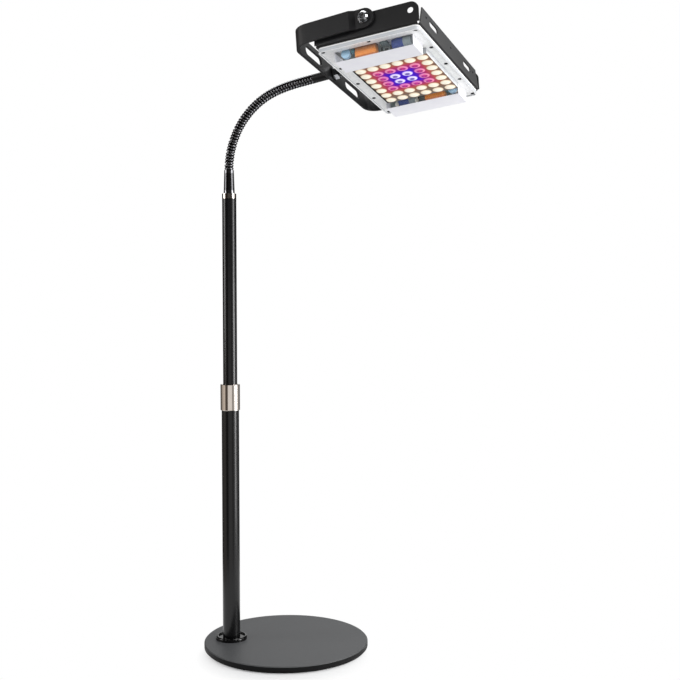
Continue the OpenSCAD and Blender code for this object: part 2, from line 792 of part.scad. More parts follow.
// A side flange and its fold, on the -Y side
module shell_side() {
    flat_l = shell_l - 2 * fold_r;
    difference() {
        union() {
            translate([-flat_l / 2, -shell_w / 2 + fold_r, front_z + fold_r])
                rotate([90, 0, 90]) linear_extrude(flat_l) mirror([1, 0]) fold_arc(fold_r, sheet_t);
            translate([0, -shell_w / 2 + sheet_t, 0]) rotate([90, 0, 0])
                linear_extrude(sheet_t) side_outline();
        }
        bar_y(pivot_d + 2 * fit_gap, -shell_w, 0);
        translate([hang_x, 0, hang_z]) bar_y(hang_hole_d, -shell_w, 0);
    }
}

// Outline of a side flange, with rounded ears at both ends
module side_outline() {
    low = front_z + fold_r;
    square_l = shell_l - 2 * ear_r;
    translate([-shell_l / 2, low]) square([shell_l, hang_z - low]);
    translate([-square_l / 2, low]) square([square_l, side_flange_rise - low]);
    for (s = [-1, 1]) translate([s * hang_x, hang_z]) circle(ear_r);
}

// An end flange and its fold, at the +X end
module shell_end() {
    low = fold_r;
    half = end_flange_l / 2;
    slot_z = front_z + end_flange_h * 0.6;
    difference() {
        union() {
            translate([shell_l / 2 - fold_r, half, front_z + fold_r])
                rotate([90, 0, 0]) linear_extrude(end_flange_l) fold_arc(fold_r, sheet_t);
            translate([shell_l / 2 - sheet_t, 0, front_z]) rotate([90, 0, 90]) linear_extrude(sheet_t)
                polygon([[-half, low], [half, low], [half - end_flange_slope, end_flange_h],
                         [end_flange_slope - half, end_flange_h]]);
        }
        for (s = [-1, 1]) {
            translate([shell_l / 2, s * end_slot_y, slot_z]) slot_x(end_slot_l, end_slot_w, 3 * sheet_t + 1);
            translate([shell_l / 2 - 2 * sheet_t, s * end_hole_y, slot_z + 2])
                rotate([0, 90, 0]) cylinder(d = end_hole_d, h = 4 * sheet_t);
        }
        translate([shell_l / 2 - 2 * sheet_t, 0, slot_z])
            rotate([0, 90, 0]) cylinder(d = end_hole_d, h = 4 * sheet_t);
    }
}

// A tray folded from one sheet, open at the back
module lamp_shell() {
    color(steel_black) at_head() difference() {
        union() {
            translate([-shell_l / 2 + fold_r, -shell_w / 2 + fold_r, front_z])
                cube([shell_l - 2 * fold_r, shell_w - 2 * fold_r, sheet_t]);
            both_sides() shell_side();
            for (s = [0, 1]) mirror([s, 0, 0]) shell_end();
        }
        for (p = cover_screw_places) translate([p.x, p.y, front_z - 1])
            cylinder(d = cover_screw_d + 2 * fit_gap, h = sheet_t + 2);
        for (p = sink_screw_places) translate([p.x, p.y, front_z - 1])
            cylinder(d = cover_screw_d + 2 * fit_gap, h = sheet_t + 2);
        translate([gland_x, 0, front_z - 1]) cylinder(d = gland_d + 2 * fit_gap, h = sheet_t + 2);
    }
}

// A finned sink on the back of the tray
module heat_sink() {
    color([0.35, 0.36, 0.38]) at_head() difference() {
        translate([sink_shift, sink_w / 2, plate_back_z]) rotate([90, 0, 0]) {
            linear_extrude(sink_w) translate([-sink_l / 2, 0]) square([sink_l, sink_base_t]);
            translate([0, 0, sink_ear]) linear_extrude(sink_w - 2 * sink_ear)
                for (i = [0 : fin_count - 1]) translate([-sink_l / 2 + i * fin_gap, sink_base_t - eps])
                    square([fin_t, fin_h]);
        }
        for (p = sink_screw_places) translate([p.x, p.y, plate_back_z - 1])
            cylinder(d = cover_screw_d + 2 * fit_gap, h = sink_base_t + 2);
    }
}

module heat_sink_screws() {
    color(zinc) at_head() for (p = sink_screw_places) translate([p.x, p.y, front_z]) {
        cylinder(d = cover_screw_d, h = sheet_t + sink_base_t + eps);
        translate([0, 0, sheet_t + sink_base_t]) cylinder(d = cover_screw_head_d, h = sink_screw_head_h);
    }
}

module led_board() {
    color([0.93, 0.93, 0.91]) at_head() difference() {
        translate([-board_l / 2, -board_w / 2, board_z]) cube([board_l, board_w, board_t]);
        translate([gland_x, 0, board_z - 1]) cylinder(d = board_hole_d, h = board_t + 2);
    }
}

// Column and row of each LED, counted in from the edge: white round the edge, red inside it, violet in the
// middle. The far side has one white row more.
function depth_in(c, r) = min(c, led_columns - 1 - c, r, led_rows - 2 - r);
function led_place(c, r) =
    [led_shift + (c - (led_columns - 1) / 2) * led_pitch,
     led_far_shift + (r - (led_rows - 1) / 2) * led_pitch];
led_grid = [for (c = [0 : led_columns - 1], r = [0 : led_rows - 1]) [c, r]];
violet_places = [for (g = led_grid) if (depth_in(g.x, g.y) > 1) led_place(g.x, g.y)];
red_places = [for (g = led_grid) if (depth_in(g.x, g.y) == 1) led_place(g.x, g.y)];
white_places = [for (g = led_grid) if (depth_in(g.x, g.y) < 1) led_place(g.x, g.y)];

// A round LED body with a low dome
module led_at(places) {
    dome_h = led_d * 0.2;
    dome_r = (pow(led_d / 2, 2) + pow(dome_h, 2)) / (2 * dome_h);
    at_head() for (p = places) translate([p.x, p.y, board_z]) mirror([0, 0, 1]) rotate_extrude($fn = 24) {
        square([led_d / 2, led_h]);
        intersection() {
            translate([0, led_h + dome_h - dome_r]) circle(dome_r);
            translate([0, led_h - eps]) square([led_d, dome_h + 1]);
        }
    }
}

module white_leds() {
    color([1.0, 0.93, 0.74]) led_at(white_places);
}

module red_leds() {
    color([0.86, 0.12, 0.3]) led_at(red_places);
}

module violet_leds() {
    color([0.42, 0.2, 0.95]) led_at(violet_places);
}

// Clear cover: a flange with a raised lip, the lens field and two boxes over the driver parts, hollow behind
module lens_cover() {
    color(clear_plastic) at_head() difference() {
        union() {
            cover_slab(cover_l, cover_w, cover_corner_r, flange_z, board_z);
            difference() {
                cover_slab(cover_l, cover_w, cover_corner_r, flange_z - cover_lip_h, flange_z + eps);
                cover_slab(cover_l - 2 * cover_lip_w, cover_w - 2 * cover_lip_w, cover_corner_r - cover_lip_w,
                           flange_z - 2 * cover_lip_h, flange_z + 1);
            }
            translate([led_shift, led_far_shift, 0])
                cover_block(lens_field_l, lens_field_w, lens_z, flange_z + eps);
            both_boxes() cover_block(box_l, box_w, box_z, flange_z + eps);
            for (g = led_grid) translate(concat(led_place(g.x, g.y), lens_z)) lens();
        }
        translate([led_shift, led_far_shift, 0])
            cover_block(lens_field_l - 2 * cover_wall, lens_field_w - 2 * cover_wall,
                        lens_z + cover_wall, board_z + 1);
        both_boxes()
            cover_block(box_l - 2 * cover_wall, box_w - 2 * cover_wall, box_z + cover_wall, board_z + 1);
        for (p = cover_screw_places) translate([p.x, p.y, 0]) {
            translate([0, 0, flange_z - cover_lip_h - 1])
                cylinder(d = cover_screw_head_d + 2 * pass_gap, h = cover_lip_h + 1 + screw_recess);
            translate([0, 0, flange_z]) cylinder(d = cover_screw_d + 2 * pass_gap, h = cover_flange_t + 1);
        }
    }
}

module cover_slab(l, w, r, z0, z1) {
    translate([0, 0, z0]) linear_extrude(z1 - z0) round_rect(l, w, r);
}

module cover_block(l, w, z0, z1) {
    translate([-l / 2, -w / 2, z0]) cube([l, w, z1 - z0]);
}

// A spherical cap that stands on the lens field, towards the light
module lens() {
    ball_r = (pow(lens_d / 2, 2) + pow(lens_h, 2)) / (2 * lens_h);
    mirror([0, 0, 1]) rotate_extrude($fn = 32) intersection() {
        translate([0, lens_h - ball_r]) circle(ball_r);
        translate([0, -cover_wall / 2]) square([lens_d, lens_h + cover_wall]);
    }
}

module cover_gasket() {
    color([0.88, 0.88, 0.87]) at_head() difference() {
        cover_slab(cover_l, cover_w, cover_corner_r, board_z, front_z);
        cover_block(board_l + 2 * pass_gap, board_w + 2 * pass_gap, board_z - 1, front_z + 1);
        for (p = cover_screw_places) translate([p.x, p.y, board_z - 1])
            cylinder(d = cover_screw_d + 2 * pass_gap, h = board_t + 2);
    }
}

// Pan-headed screws with a cross recess, from the light side
module cover_screws() {
    recess = [cover_screw_head_d * 0.6, cover_screw_head_d * 0.16];
    head_z = flange_z + screw_recess;
    color(neck_black) at_head() for (p = cover_screw_places) translate([p.x, p.y, head_z]) difference() {
        union() {
            translate([0, 0, -cover_screw_head_h])
                cylinder(d1 = cover_screw_head_d * 0.8, d2 = cover_screw_head_d, h = cover_screw_head_h);
            cylinder(d = cover_screw_d, h = plate_back_z + cover_nut_h - head_z);
        }
        for (a = [0, 90]) rotate([0, 0, a]) translate([-recess.x / 2, -recess.y / 2, -cover_screw_head_h - 1])
            cube([recess.x, recess.y, 1 + cover_screw_head_h / 2]);
    }
}

module cover_nuts() {
    nut_af = cover_screw_d + 2.5;
    color(zinc) at_head() for (p = cover_screw_places) translate([p.x, p.y, plate_back_z]) difference() {
        hexagon(nut_af, cover_nut_h);
        translate([0, 0, -1]) cylinder(d = cover_screw_d + 2 * fit_gap, h = cover_nut_h + 2);
    }
}

// Driver parts on both ends of the board

module film_capacitors() {
    edge = 1.5;
    color([0.95, 0.55, 0.2]) at_head() by_wall(film_cap_w, film_cap_x)
        translate([0, 0, board_z - film_cap_h])
            linear_extrude(film_cap_h) round_rect(film_cap_l, film_cap_w, edge);
}

module varistors() {
    color([0.5, 0.72, 0.88]) at_head() by_wall(varistor_t, varistor_x)
        translate([0, 0, board_z - varistor_d / 2]) bar_y(varistor_d, -varistor_t / 2, varistor_t / 2);
}

module bulk_capacitors() {
    color([0.2, 0.25, 0.45]) at_head() by_wall(bulk_cap_d, bulk_cap_x)
        translate([-bulk_cap_l / 2, 0, board_z - bulk_cap_d / 2])
            rotate([0, 90, 0]) cylinder(d = bulk_cap_d, h = bulk_cap_l);
}

module driver_chips() {
    color([0.3, 0.38, 0.38]) at_head() by_wall(chip_w, chip_x)
        cover_block(chip_l, chip_w, board_z - chip_h, board_z);
}

module rectifiers() {
    color([0.24, 0.42, 0.46]) at_head() by_wall(rectifier_size.y, rectifier_x)
        cover_block(rectifier_size.x, rectifier_size.y, board_z - rectifier_size.z, board_z);
}

// The gland where the lead enters the head, on the back of the tray
module cable_gland() {
    color(neck_black) at_head() translate([gland_x, 0, front_z]) difference() {
        union() {
            cylinder(d = gland_d, h = sheet_t + eps);
            translate([0, 0, sheet_t]) hexagon(gland_af, gland_h);
            translate([0, 0, sheet_t + gland_h - eps]) cylinder(d = gland_d, h = gland_thread_l);
        }
        translate([0, 0, -1]) cylinder(d = lead_bore_d, h = sheet_t + gland_h + gland_cap_h + 2);
    }
}

module gland_cap() {
    r = gland_af / 2 - 0.2;
    dome = 3;
    color(neck_black) at_head() translate([gland_x, 0, plate_back_z + gland_h]) difference() {
        rotate_extrude()
            polygon([[0, 0], [r, 0], [r, gland_cap_h - dome], [r - dome, gland_cap_h], [0, gland_cap_h]]);
        translate([0, 0, -1]) cylinder(d = gland_d + 2 * fit_gap, h = gland_thread_l + 1);
        cylinder(d = lead_bore_d, h = gland_cap_h + 1);
    }
}

base_plate();
base_pad();
foot_flange();
foot_plug();
pole_screw();
lower_tube();
grip_collet();
locking_collar();
upper_tube();
guide_bush();
tube_end_ring();
neck_lower_ferrule();
neck_root();
for (j = [1 : neck_joints])
    neck_link(j);
neck_upper_ferrule();
stud_washers();
neck_nut();
yoke();
pivot_screws();
lock_washers();
flat_washers();
pivot_nuts();
lamp_shell();
heat_sink();
heat_sink_screws();
led_board();
white_leds();
red_leds();
violet_leds();
lens_cover();
cover_gasket();
cover_screws();
cover_nuts();
film_capacitors();
varistors();
bulk_capacitors();
driver_chips();
rectifiers();
cable_gland();
gland_cap();
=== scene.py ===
import json
import math

import bmesh
import bpy
from mathutils import Matrix, Vector


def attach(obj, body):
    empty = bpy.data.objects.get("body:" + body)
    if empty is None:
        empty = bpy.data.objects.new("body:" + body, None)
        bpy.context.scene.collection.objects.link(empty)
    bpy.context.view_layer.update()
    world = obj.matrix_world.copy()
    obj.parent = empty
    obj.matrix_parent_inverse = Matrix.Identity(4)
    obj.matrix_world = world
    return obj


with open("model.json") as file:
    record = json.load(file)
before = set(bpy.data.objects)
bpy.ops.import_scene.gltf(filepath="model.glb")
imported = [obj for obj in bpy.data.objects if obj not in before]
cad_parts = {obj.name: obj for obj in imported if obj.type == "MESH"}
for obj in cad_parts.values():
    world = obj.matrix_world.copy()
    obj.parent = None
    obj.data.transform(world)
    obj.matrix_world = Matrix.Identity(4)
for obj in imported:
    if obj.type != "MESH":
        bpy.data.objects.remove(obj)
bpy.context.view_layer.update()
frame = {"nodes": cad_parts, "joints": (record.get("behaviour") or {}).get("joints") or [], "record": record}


# Base plate
# A steel disc, turned to size with its upper edge broken, under a fine matt charcoal powder coat.
# Its weight keeps the lamp upright, so the pole can stand near its edge.

nodes = frame["nodes"]
MM = 0.001


def linear(colour):
    """An sRGB hex colour as the linear values that the shaders take."""
    channels = [int(colour[i:i + 2], 16) / 255 for i in (1, 3, 5)]
    return [c / 12.92 if c <= 0.04045 else ((c + 0.055) / 1.055) ** 2.4 for c in channels] + [1.0]


def add(tree, kind, inputs=(), stops=(), **settings):
    """Adds a shader node with its settings. An input takes a value, or another node's output as a link."""
    node = tree.nodes.new("ShaderNode" + kind)
    for name, value in settings.items():
        setattr(node, name, value)
    for name, value in dict(inputs).items():
        if isinstance(value, bpy.types.NodeSocket):
            tree.links.new(value, node.inputs[name])
        else:
            node.inputs[name].default_value = value
    points = node.color_ramp.elements if stops else []
    while len(points) < len(stops):
        points.new(1.0)
    for point, (position, colour) in zip(points, stops):
        point.position = position
        point.color = linear(colour)
    return node


def finish(name, sockets):
    """Starts a finish with its even values. Patterns take their place from the last value, in metres."""
    material = bpy.data.materials.new(name)
    material.use_nodes = True
    tree = material.node_tree
    shader = tree.nodes["Principled BSDF"]
    for socket, value in sockets.items():
        shader.inputs[socket].default_value = value
    return material, tree, shader, add(tree, "TexCoord").outputs["Object"]


def dress(material, *names):
    """Puts a finish on CAD nodes."""
    for name in names:
        mesh = nodes[name].data
        mesh.materials.clear()
        mesh.materials.append(material)


# Powder coat: sprayed and baked, so it is matt, with a fine pebbled skin. The grit is drawn at twice its
# size, so that it shows in the picture.
charcoal_grit = 1.0 * MM
charcoal_cloud = 70 * MM
charcoal_coat, tree, shader, place = finish("charcoal_powder_coat", {"Specular IOR Level": 0.4})
grit = add(tree, "TexNoise", {"Vector": place, "Scale": 1 / charcoal_grit, "Detail": 2})
cloud = add(tree, "TexNoise", {"Vector": place, "Scale": 1 / charcoal_cloud, "Detail": 3})
tone = add(tree, "Mix", {"Factor": cloud.outputs["Fac"], "A": linear("#343536"), "B": linear("#3b3c3d")},
           data_type="RGBA")
speck = add(tree, "Mix", {"Factor": grit.outputs["Fac"], "A": tone.outputs["Result"],
                          "B": linear("#434445")}, data_type="RGBA")
tree.links.new(speck.outputs["Result"], shader.inputs["Base Color"])
dull = add(tree, "MapRange", {"Value": grit.outputs["Fac"], "To Min": 0.42, "To Max": 0.58})
tree.links.new(dull.outputs["Result"], shader.inputs["Roughness"])
skin = add(tree, "Bump", {"Height": grit.outputs["Fac"], "Strength": 0.2, "Distance": 0.15 * MM})
tree.links.new(skin.outputs["Normal"], shader.inputs["Normal"])
dress(charcoal_coat, "base_plate")

# Enamel on the plate's turned edge and underside: brushed on, smooth and blacker than the sprayed top.
# The darker tone also stands for painted shade on these faces, which lean away from the lamps.
enamel_streak = 6 * MM
rim_enamel_and_shade, tree, shader, place = finish("black_rim_enamel_and_shade", {"Specular IOR Level": 0.1})
streak = add(tree, "TexNoise", {"Vector": place, "Scale": 1 / enamel_streak, "Detail": 3})
tone = add(tree, "Mix", {"Factor": streak.outputs["Fac"], "A": linear("#0c0c0c"), "B": linear("#151516")},
           data_type="RGBA")
tree.links.new(tone.outputs["Result"], shader.inputs["Base Color"])
dull = add(tree, "MapRange", {"Value": streak.outputs["Fac"], "To Min": 0.4, "To Max": 0.55})
tree.links.new(dull.outputs["Result"], shader.inputs["Roughness"])
# Faces that lean away from the top take the darker enamel, as painted shade.
top_lean = 0.3
plate = nodes["base_plate"].data
plate.materials.append(rim_enamel_and_shade)
for face in plate.polygons:
    face.material_index = 1 if face.normal.z < top_lean else 0


# Base pad, pole screw and plug
# A die-cut sheet of closed-cell EVA foam, glued under the plate so that it doesn't mark the floor.
# A countersunk steel screw goes up through the plate into the threaded plug in the pole's foot.

# EVA foam: dull black, with small cut cells that scatter the light.
foam_cell = 0.8 * MM
eva_foam, tree, shader, place = finish("eva_foam", {"Roughness": 0.9, "Specular IOR Level": 0.2})
cells = add(tree, "TexVoronoi", {"Vector": place, "Scale": 1 / foam_cell})
tone = add(tree, "Mix", {"Factor": cells.outputs["Distance"], "A": linear("#1d1d1d"),
                         "B": linear("#2a2a2a")}, data_type="RGBA")
tree.links.new(tone.outputs["Result"], shader.inputs["Base Color"])
pits = add(tree, "Bump", {"Height": cells.outputs["Distance"], "Strength": 0.5, "Distance": 0.2 * MM})
tree.links.new(pits.outputs["Normal"], shader.inputs["Normal"])
dress(eva_foam, "base_pad")

# Bright zinc plate: a thin electroplated coat on steel, silvery with faint crystal patches.
zinc_patch = 1.2 * MM
zinc_haze = 0.3 * MM
zinc_plate, tree, shader, place = finish("bright_zinc_plate", {"Metallic": 1.0})
patch = add(tree, "TexVoronoi", {"Vector": place, "Scale": 1 / zinc_patch})
haze = add(tree, "TexNoise", {"Vector": place, "Scale": 1 / zinc_haze, "Detail": 2})
tone = add(tree, "Mix", {"Factor": patch.outputs["Distance"], "A": linear("#c9cbcf"),
                         "B": linear("#b3b5b9")}, data_type="RGBA")
tree.links.new(tone.outputs["Result"], shader.inputs["Base Color"])
dull = add(tree, "MapRange", {"Value": haze.outputs["Fac"], "To Min": 0.18, "To Max": 0.3})
tree.links.new(dull.outputs["Result"], shader.inputs["Roughness"])
dress(zinc_plate, "pole_screw", "foot_plug")


# Foot flange
# A dished ring of injection-moulded ABS.
# It slides down the pole and hides the pole's joint with the plate.

# Glossy ABS: moulded in a polished tool, so it is black and mirror-smooth with a faint ripple.
ripple_size = 5 * MM
gloss_abs, tree, shader, place = finish("glossy_black_abs", {"Specular IOR Level": 0.35})
ripple = add(tree, "TexNoise", {"Vector": place, "Scale": 1 / ripple_size, "Detail": 1})
tone = add(tree, "Mix", {"Factor": ripple.outputs["Fac"], "A": linear("#050505"), "B": linear("#0a0a0b")},
           data_type="RGBA")
tree.links.new(tone.outputs["Result"], shader.inputs["Base Color"])
dull = add(tree, "MapRange", {"Value": ripple.outputs["Fac"], "To Min": 0.08, "To Max": 0.16})
tree.links.new(dull.outputs["Result"], shader.inputs["Roughness"])
dress(gloss_abs, "foot_flange")


# Pole tubes
# Two lengths of welded steel tube, sprayed satin black.
# The lower one stands on the plate, and the upper one slides and turns in it.

# Satin paint on tube: nearly black, with the slight orange peel of a sprayed coat. The peel is drawn
# coarser than it is, because a fine one shows only as noise in the picture.
peel_size = 5 * MM
pole_paint, tree, shader, place = finish("satin_black_tube_paint", {"Specular IOR Level": 0.42})
peel = add(tree, "TexNoise", {"Vector": place, "Scale": 1 / peel_size, "Detail": 2})
tone = add(tree, "Mix", {"Factor": peel.outputs["Fac"], "A": linear("#060607"), "B": linear("#0b0b0c")},
           data_type="RGBA")
tree.links.new(tone.outputs["Result"], shader.inputs["Base Color"])
dull = add(tree, "MapRange", {"Value": peel.outputs["Fac"], "To Min": 0.19, "To Max": 0.24})
tree.links.new(dull.outputs["Result"], shader.inputs["Roughness"])
skin = add(tree, "Bump", {"Height": peel.outputs["Fac"], "Strength": 0.03, "Distance": 0.05 * MM})
tree.links.new(skin.outputs["Normal"], shader.inputs["Normal"])
dress(pole_paint, "lower_tube", "upper_tube")


# Locking collar, collet, bush and end ring
# The collar and the end ring are turned from brass tube and chrome plated.
# The collet, which the collar squeezes on the upper tube, and the guide bush are turned from nylon rod.

# Chrome plate: a mirror with fine lathe lines that run round the tube.
lathe_line = 0.25 * MM
chrome_bloom = 12 * MM
chrome, tree, shader, place = finish("chrome_plate", {"Metallic": 1.0})
rounds = add(tree, "Mapping", {"Vector": place, "Scale": (0.0, 0.0, 1 / lathe_line)})
lines = add(tree, "TexNoise", {"Vector": rounds.outputs["Vector"], "Scale": 1.0, "Detail": 3})
bloom = add(tree, "TexNoise", {"Vector": place, "Scale": 1 / chrome_bloom, "Detail": 2})
tone = add(tree, "Mix", {"Factor": bloom.outputs["Fac"], "A": linear("#e6dfd8"), "B": linear("#d9cfc6")},
           data_type="RGBA")
tree.links.new(tone.outputs["Result"], shader.inputs["Base Color"])
dull = add(tree, "MapRange", {"Value": lines.outputs["Fac"], "To Min": 0.05, "To Max": 0.14})
tree.links.new(dull.outputs["Result"], shader.inputs["Roughness"])
dress(chrome, "locking_collar", "tube_end_ring")

# Nylon: natural milky white, turned from rod, with a waxy sheen.
nylon_cloud = 4 * MM
nylon, tree, shader, place = finish("natural_nylon", {"Roughness": 0.45, "Subsurface Weight": 0.1})
cloud = add(tree, "TexNoise", {"Vector": place, "Scale": 1 / nylon_cloud, "Detail": 2})
tone = add(tree, "Mix", {"Factor": cloud.outputs["Fac"], "A": linear("#e4e2d8"), "B": linear("#d6d3c6")},
           data_type="RGBA")
tree.links.new(tone.outputs["Result"], shader.inputs["Base Color"])
dress(nylon, "grip_collet", "guide_bush")


# Gooseneck
# A steel spring hose of rolled ribs with a ferrule crimped on its foot, both plated with black nickel.
# The hose holds its bend by the friction between its coils.

# Black nickel: a dark mirror, and darker still at a glancing angle. Each rib's crest carries small bright
# spots of the softboxes, and the grooves are painted black as shade in the hollows between the ribs.
nickel_bloom = 3 * MM
groove_point, crest_point = 0.495, 0.525
black_nickel, tree, shader, place = finish("black_nickel_plate", {
    "Metallic": 1.0, "Specular Tint": linear("#3a3a3b")})
bloom = add(tree, "TexNoise", {"Vector": place, "Scale": 1 / nickel_bloom, "Detail": 2})
tone = add(tree, "Mix", {"Factor": bloom.outputs["Fac"], "A": linear("#78787b"), "B": linear("#868689")},
           data_type="RGBA")
# Painted shade: the colour fades to black from the crests down into the grooves.
shade_fade = add(tree, "MapRange", {"Value": add(tree, "NewGeometry").outputs["Pointiness"],
                              "From Min": groove_point, "From Max": crest_point})
tone = add(tree, "Mix", {"Factor": shade_fade.outputs["Result"], "A": linear("#0d0d0d"),
                         "B": tone.outputs["Result"]}, data_type="RGBA")
tree.links.new(tone.outputs["Result"], shader.inputs["Base Color"])
dull = add(tree, "MapRange", {"Value": bloom.outputs["Fac"], "To Min": 0.1, "To Max": 0.16})
tree.links.new(dull.outputs["Result"], shader.inputs["Roughness"])
links = [name for name in nodes if name.startswith("neck_link_")]
dress(black_nickel, "neck_lower_ferrule", "neck_root", *links)


# Upper ferrule, washers and nut
# A blackened steel ferrule, crimped on the hose's upper end, with a hollow stud that goes through the yoke.
# Two black washers clamp the yoke on the stud, under a zinc-plated hexagon nut.

# Black oxide: a chemical blackening of the steel, with a dull metal sheen.
oxide_cloud = 2 * MM
black_oxide, tree, shader, place = finish("black_oxide_steel", {"Metallic": 0.3})
cloud = add(tree, "TexNoise", {"Vector": place, "Scale": 1 / oxide_cloud, "Detail": 3})
tone = add(tree, "Mix", {"Factor": cloud.outputs["Fac"], "A": linear("#0a0a0b"), "B": linear("#19191a")},
           data_type="RGBA")
tree.links.new(tone.outputs["Result"], shader.inputs["Base Color"])
dull = add(tree, "MapRange", {"Value": cloud.outputs["Fac"], "To Min": 0.35, "To Max": 0.55})
tree.links.new(dull.outputs["Result"], shader.inputs["Roughness"])
dress(black_oxide, "neck_upper_ferrule", "stud_washers")
dress(zinc_plate, "neck_nut")


# Yoke
# A flat steel bar bent into a U, with two slots punched in its back and its arms stepped in at the pivots.
# It is powder coated. A screw, washers and a nut at the end of each arm carry the lamp's tray.

# Satin powder coat on sheet: black, finer than the base plate's, with a soft sheen and eased edges.
satin_grit = 0.8 * MM
satin_patch = 25 * MM
eased_edge = 0.5 * MM
satin_coat, tree, shader, place = finish("satin_black_powder_coat", {"Specular IOR Level": 0.5})
grit = add(tree, "TexNoise", {"Vector": place, "Scale": 1 / satin_grit, "Detail": 2})
cloud = add(tree, "TexNoise", {"Vector": place, "Scale": 1 / satin_patch, "Detail": 2})
tone = add(tree, "Mix", {"Factor": cloud.outputs["Fac"], "A": linear("#141415"), "B": linear("#1e1e1f")},
           data_type="RGBA")
tree.links.new(tone.outputs["Result"], shader.inputs["Base Color"])
dull = add(tree, "MapRange", {"Value": grit.outputs["Fac"], "To Min": 0.32, "To Max": 0.46})
tree.links.new(dull.outputs["Result"], shader.inputs["Roughness"])
edge = add(tree, "Bevel", {"Radius": eased_edge}, samples=4)
skin = add(tree, "Bump", {"Height": grit.outputs["Fac"], "Strength": 0.15, "Distance": 0.08 * MM,
                          "Normal": edge.outputs["Normal"]})
tree.links.new(skin.outputs["Normal"], shader.inputs["Normal"])
dress(satin_coat, "yoke")
dress(zinc_plate, "pivot_screws", "lock_washers", "pivot_nuts")
dress(black_oxide, "flat_washers")


# Lamp tray
# An open tray folded from one steel sheet, with its slots and holes punched first.
# It is powder coated like the yoke, and turns between the yoke's arms.

dress(satin_coat, "lamp_shell")


# Heat sink
# An aluminium extrusion with nine fins, sawn to length, with its fins cut away at both ends.
# Screws through those ends hold it on the back of the tray, behind the LEDs.

# The head's own axes: +X away from the neck, +Y from arm to arm, -Z towards the light. The hanging holes,
# whose place in millimetres is known in these axes, give their turn about the pivots.
hang_x, hang_z = 60.5, -3
joint = {j["name"]: j for j in frame["joints"]}
mount = {m["name"]: Vector(m["pos_m"]) for m in frame["record"]["mounts"]}
pivot = Vector(joint["head_tilt"]["pos_m"])
head_y = Vector(joint["head_tilt"]["axis"])
to_holes = (mount["near_hang_hole"] + mount["far_hang_hole"]) / 2 - pivot
across = head_y.cross(to_holes)
head_x = (hang_x * to_holes + hang_z * across).normalized()
head_z = head_x.cross(head_y)
head_axes = Matrix((head_x, head_y, head_z)).transposed()
turn_to_head = head_axes.transposed()

# Settings of a Mapping node that turns a place in metres into the head's own millimetres.
head_place = {"Location": -(turn_to_head @ pivot) / MM, "Rotation": turn_to_head.to_euler(),
              "Scale": (1 / MM, 1 / MM, 1 / MM)}

# Mill-finish aluminium: pale grey, with die lines along the fins. Sizes on the head are in millimetres.
die_line, die_line_l = 0.5, 50
mill_aluminium, tree, shader, place = finish("mill_finish_aluminium", {"Metallic": 1.0})
spot = add(tree, "Mapping", {"Vector": place, **head_place})
along = add(tree, "Mapping", {"Vector": spot.outputs["Vector"],
                              "Scale": (1 / die_line, 1 / die_line_l, 1 / die_line)})
lines = add(tree, "TexNoise", {"Vector": along.outputs["Vector"], "Scale": 1.0, "Detail": 3})
tone = add(tree, "Mix", {"Factor": lines.outputs["Fac"], "A": linear("#a9abae"), "B": linear("#c6c8ca")},
           data_type="RGBA")
tree.links.new(tone.outputs["Result"], shader.inputs["Base Color"])
dull = add(tree, "MapRange", {"Value": lines.outputs["Fac"], "To Min": 0.3, "To Max": 0.5})
tree.links.new(dull.outputs["Result"], shader.inputs["Roughness"])
scratch = add(tree, "Bump", {"Height": lines.outputs["Fac"], "Strength": 0.2, "Distance": 0.05 * MM})
tree.links.new(scratch.outputs["Normal"], shader.inputs["Normal"])
dress(mill_aluminium, "heat_sink")
dress(zinc_plate, "heat_sink_screws")


# Cable gland
# A gland of glass-filled nylon, screwed into the back of the tray where a lead comes in.
# Its cap squeezes a seal round the lead.

# Glass-filled nylon: black and dull, with a faint flow grain.
flow_grain = 1.5 * MM
gland_nylon, tree, shader, place = finish("black_gland_nylon", {"Specular IOR Level": 0.4})
grain = add(tree, "TexNoise", {"Vector": place, "Scale": 1 / flow_grain, "Detail": 3})
tone = add(tree, "Mix", {"Factor": grain.outputs["Fac"], "A": linear("#141414"), "B": linear("#212121")},
           data_type="RGBA")
tree.links.new(tone.outputs["Result"], shader.inputs["Base Color"])
dull = add(tree, "MapRange", {"Value": grain.outputs["Fac"], "To Min": 0.45, "To Max": 0.65})
tree.links.new(dull.outputs["Result"], shader.inputs["Roughness"])
dress(gland_nylon, "cable_gland", "gland_cap")


# LED board and LEDs
# One aluminium-backed board with a white solder mask, laid on the tray's light side.
# It carries the LEDs and, at both ends, the mains driver parts, all soldered.

# White solder mask: smooth and slightly glossy, with copper areas that show as faint steps.
copper_area = 32
solder_mask, tree, shader, place = finish("white_solder_mask", {"Roughness": 0.35})
spot = add(tree, "Mapping", {"Vector": place, **head_place})
tracks = add(tree, "TexBrick", {"Vector": spot.outputs["Vector"], "Scale": 1 / copper_area,
                                "Color1": linear("#f0f0ee"), "Color2": linear("#ececea"),
                                "Mortar": linear("#d4d4d2"), "Mortar Size": 0.02, "Mortar Smooth": 0.3})
tree.links.new(tracks.outputs["Color"], shader.inputs["Base Color"])
step = add(tree, "Bump", {"Height": tracks.outputs["Fac"], "Strength": 0.2, "Distance": 0.1 * MM},
           invert=True)
tree.links.new(step.outputs["Normal"], shader.inputs["Normal"])
dress(solder_mask, "led_board")

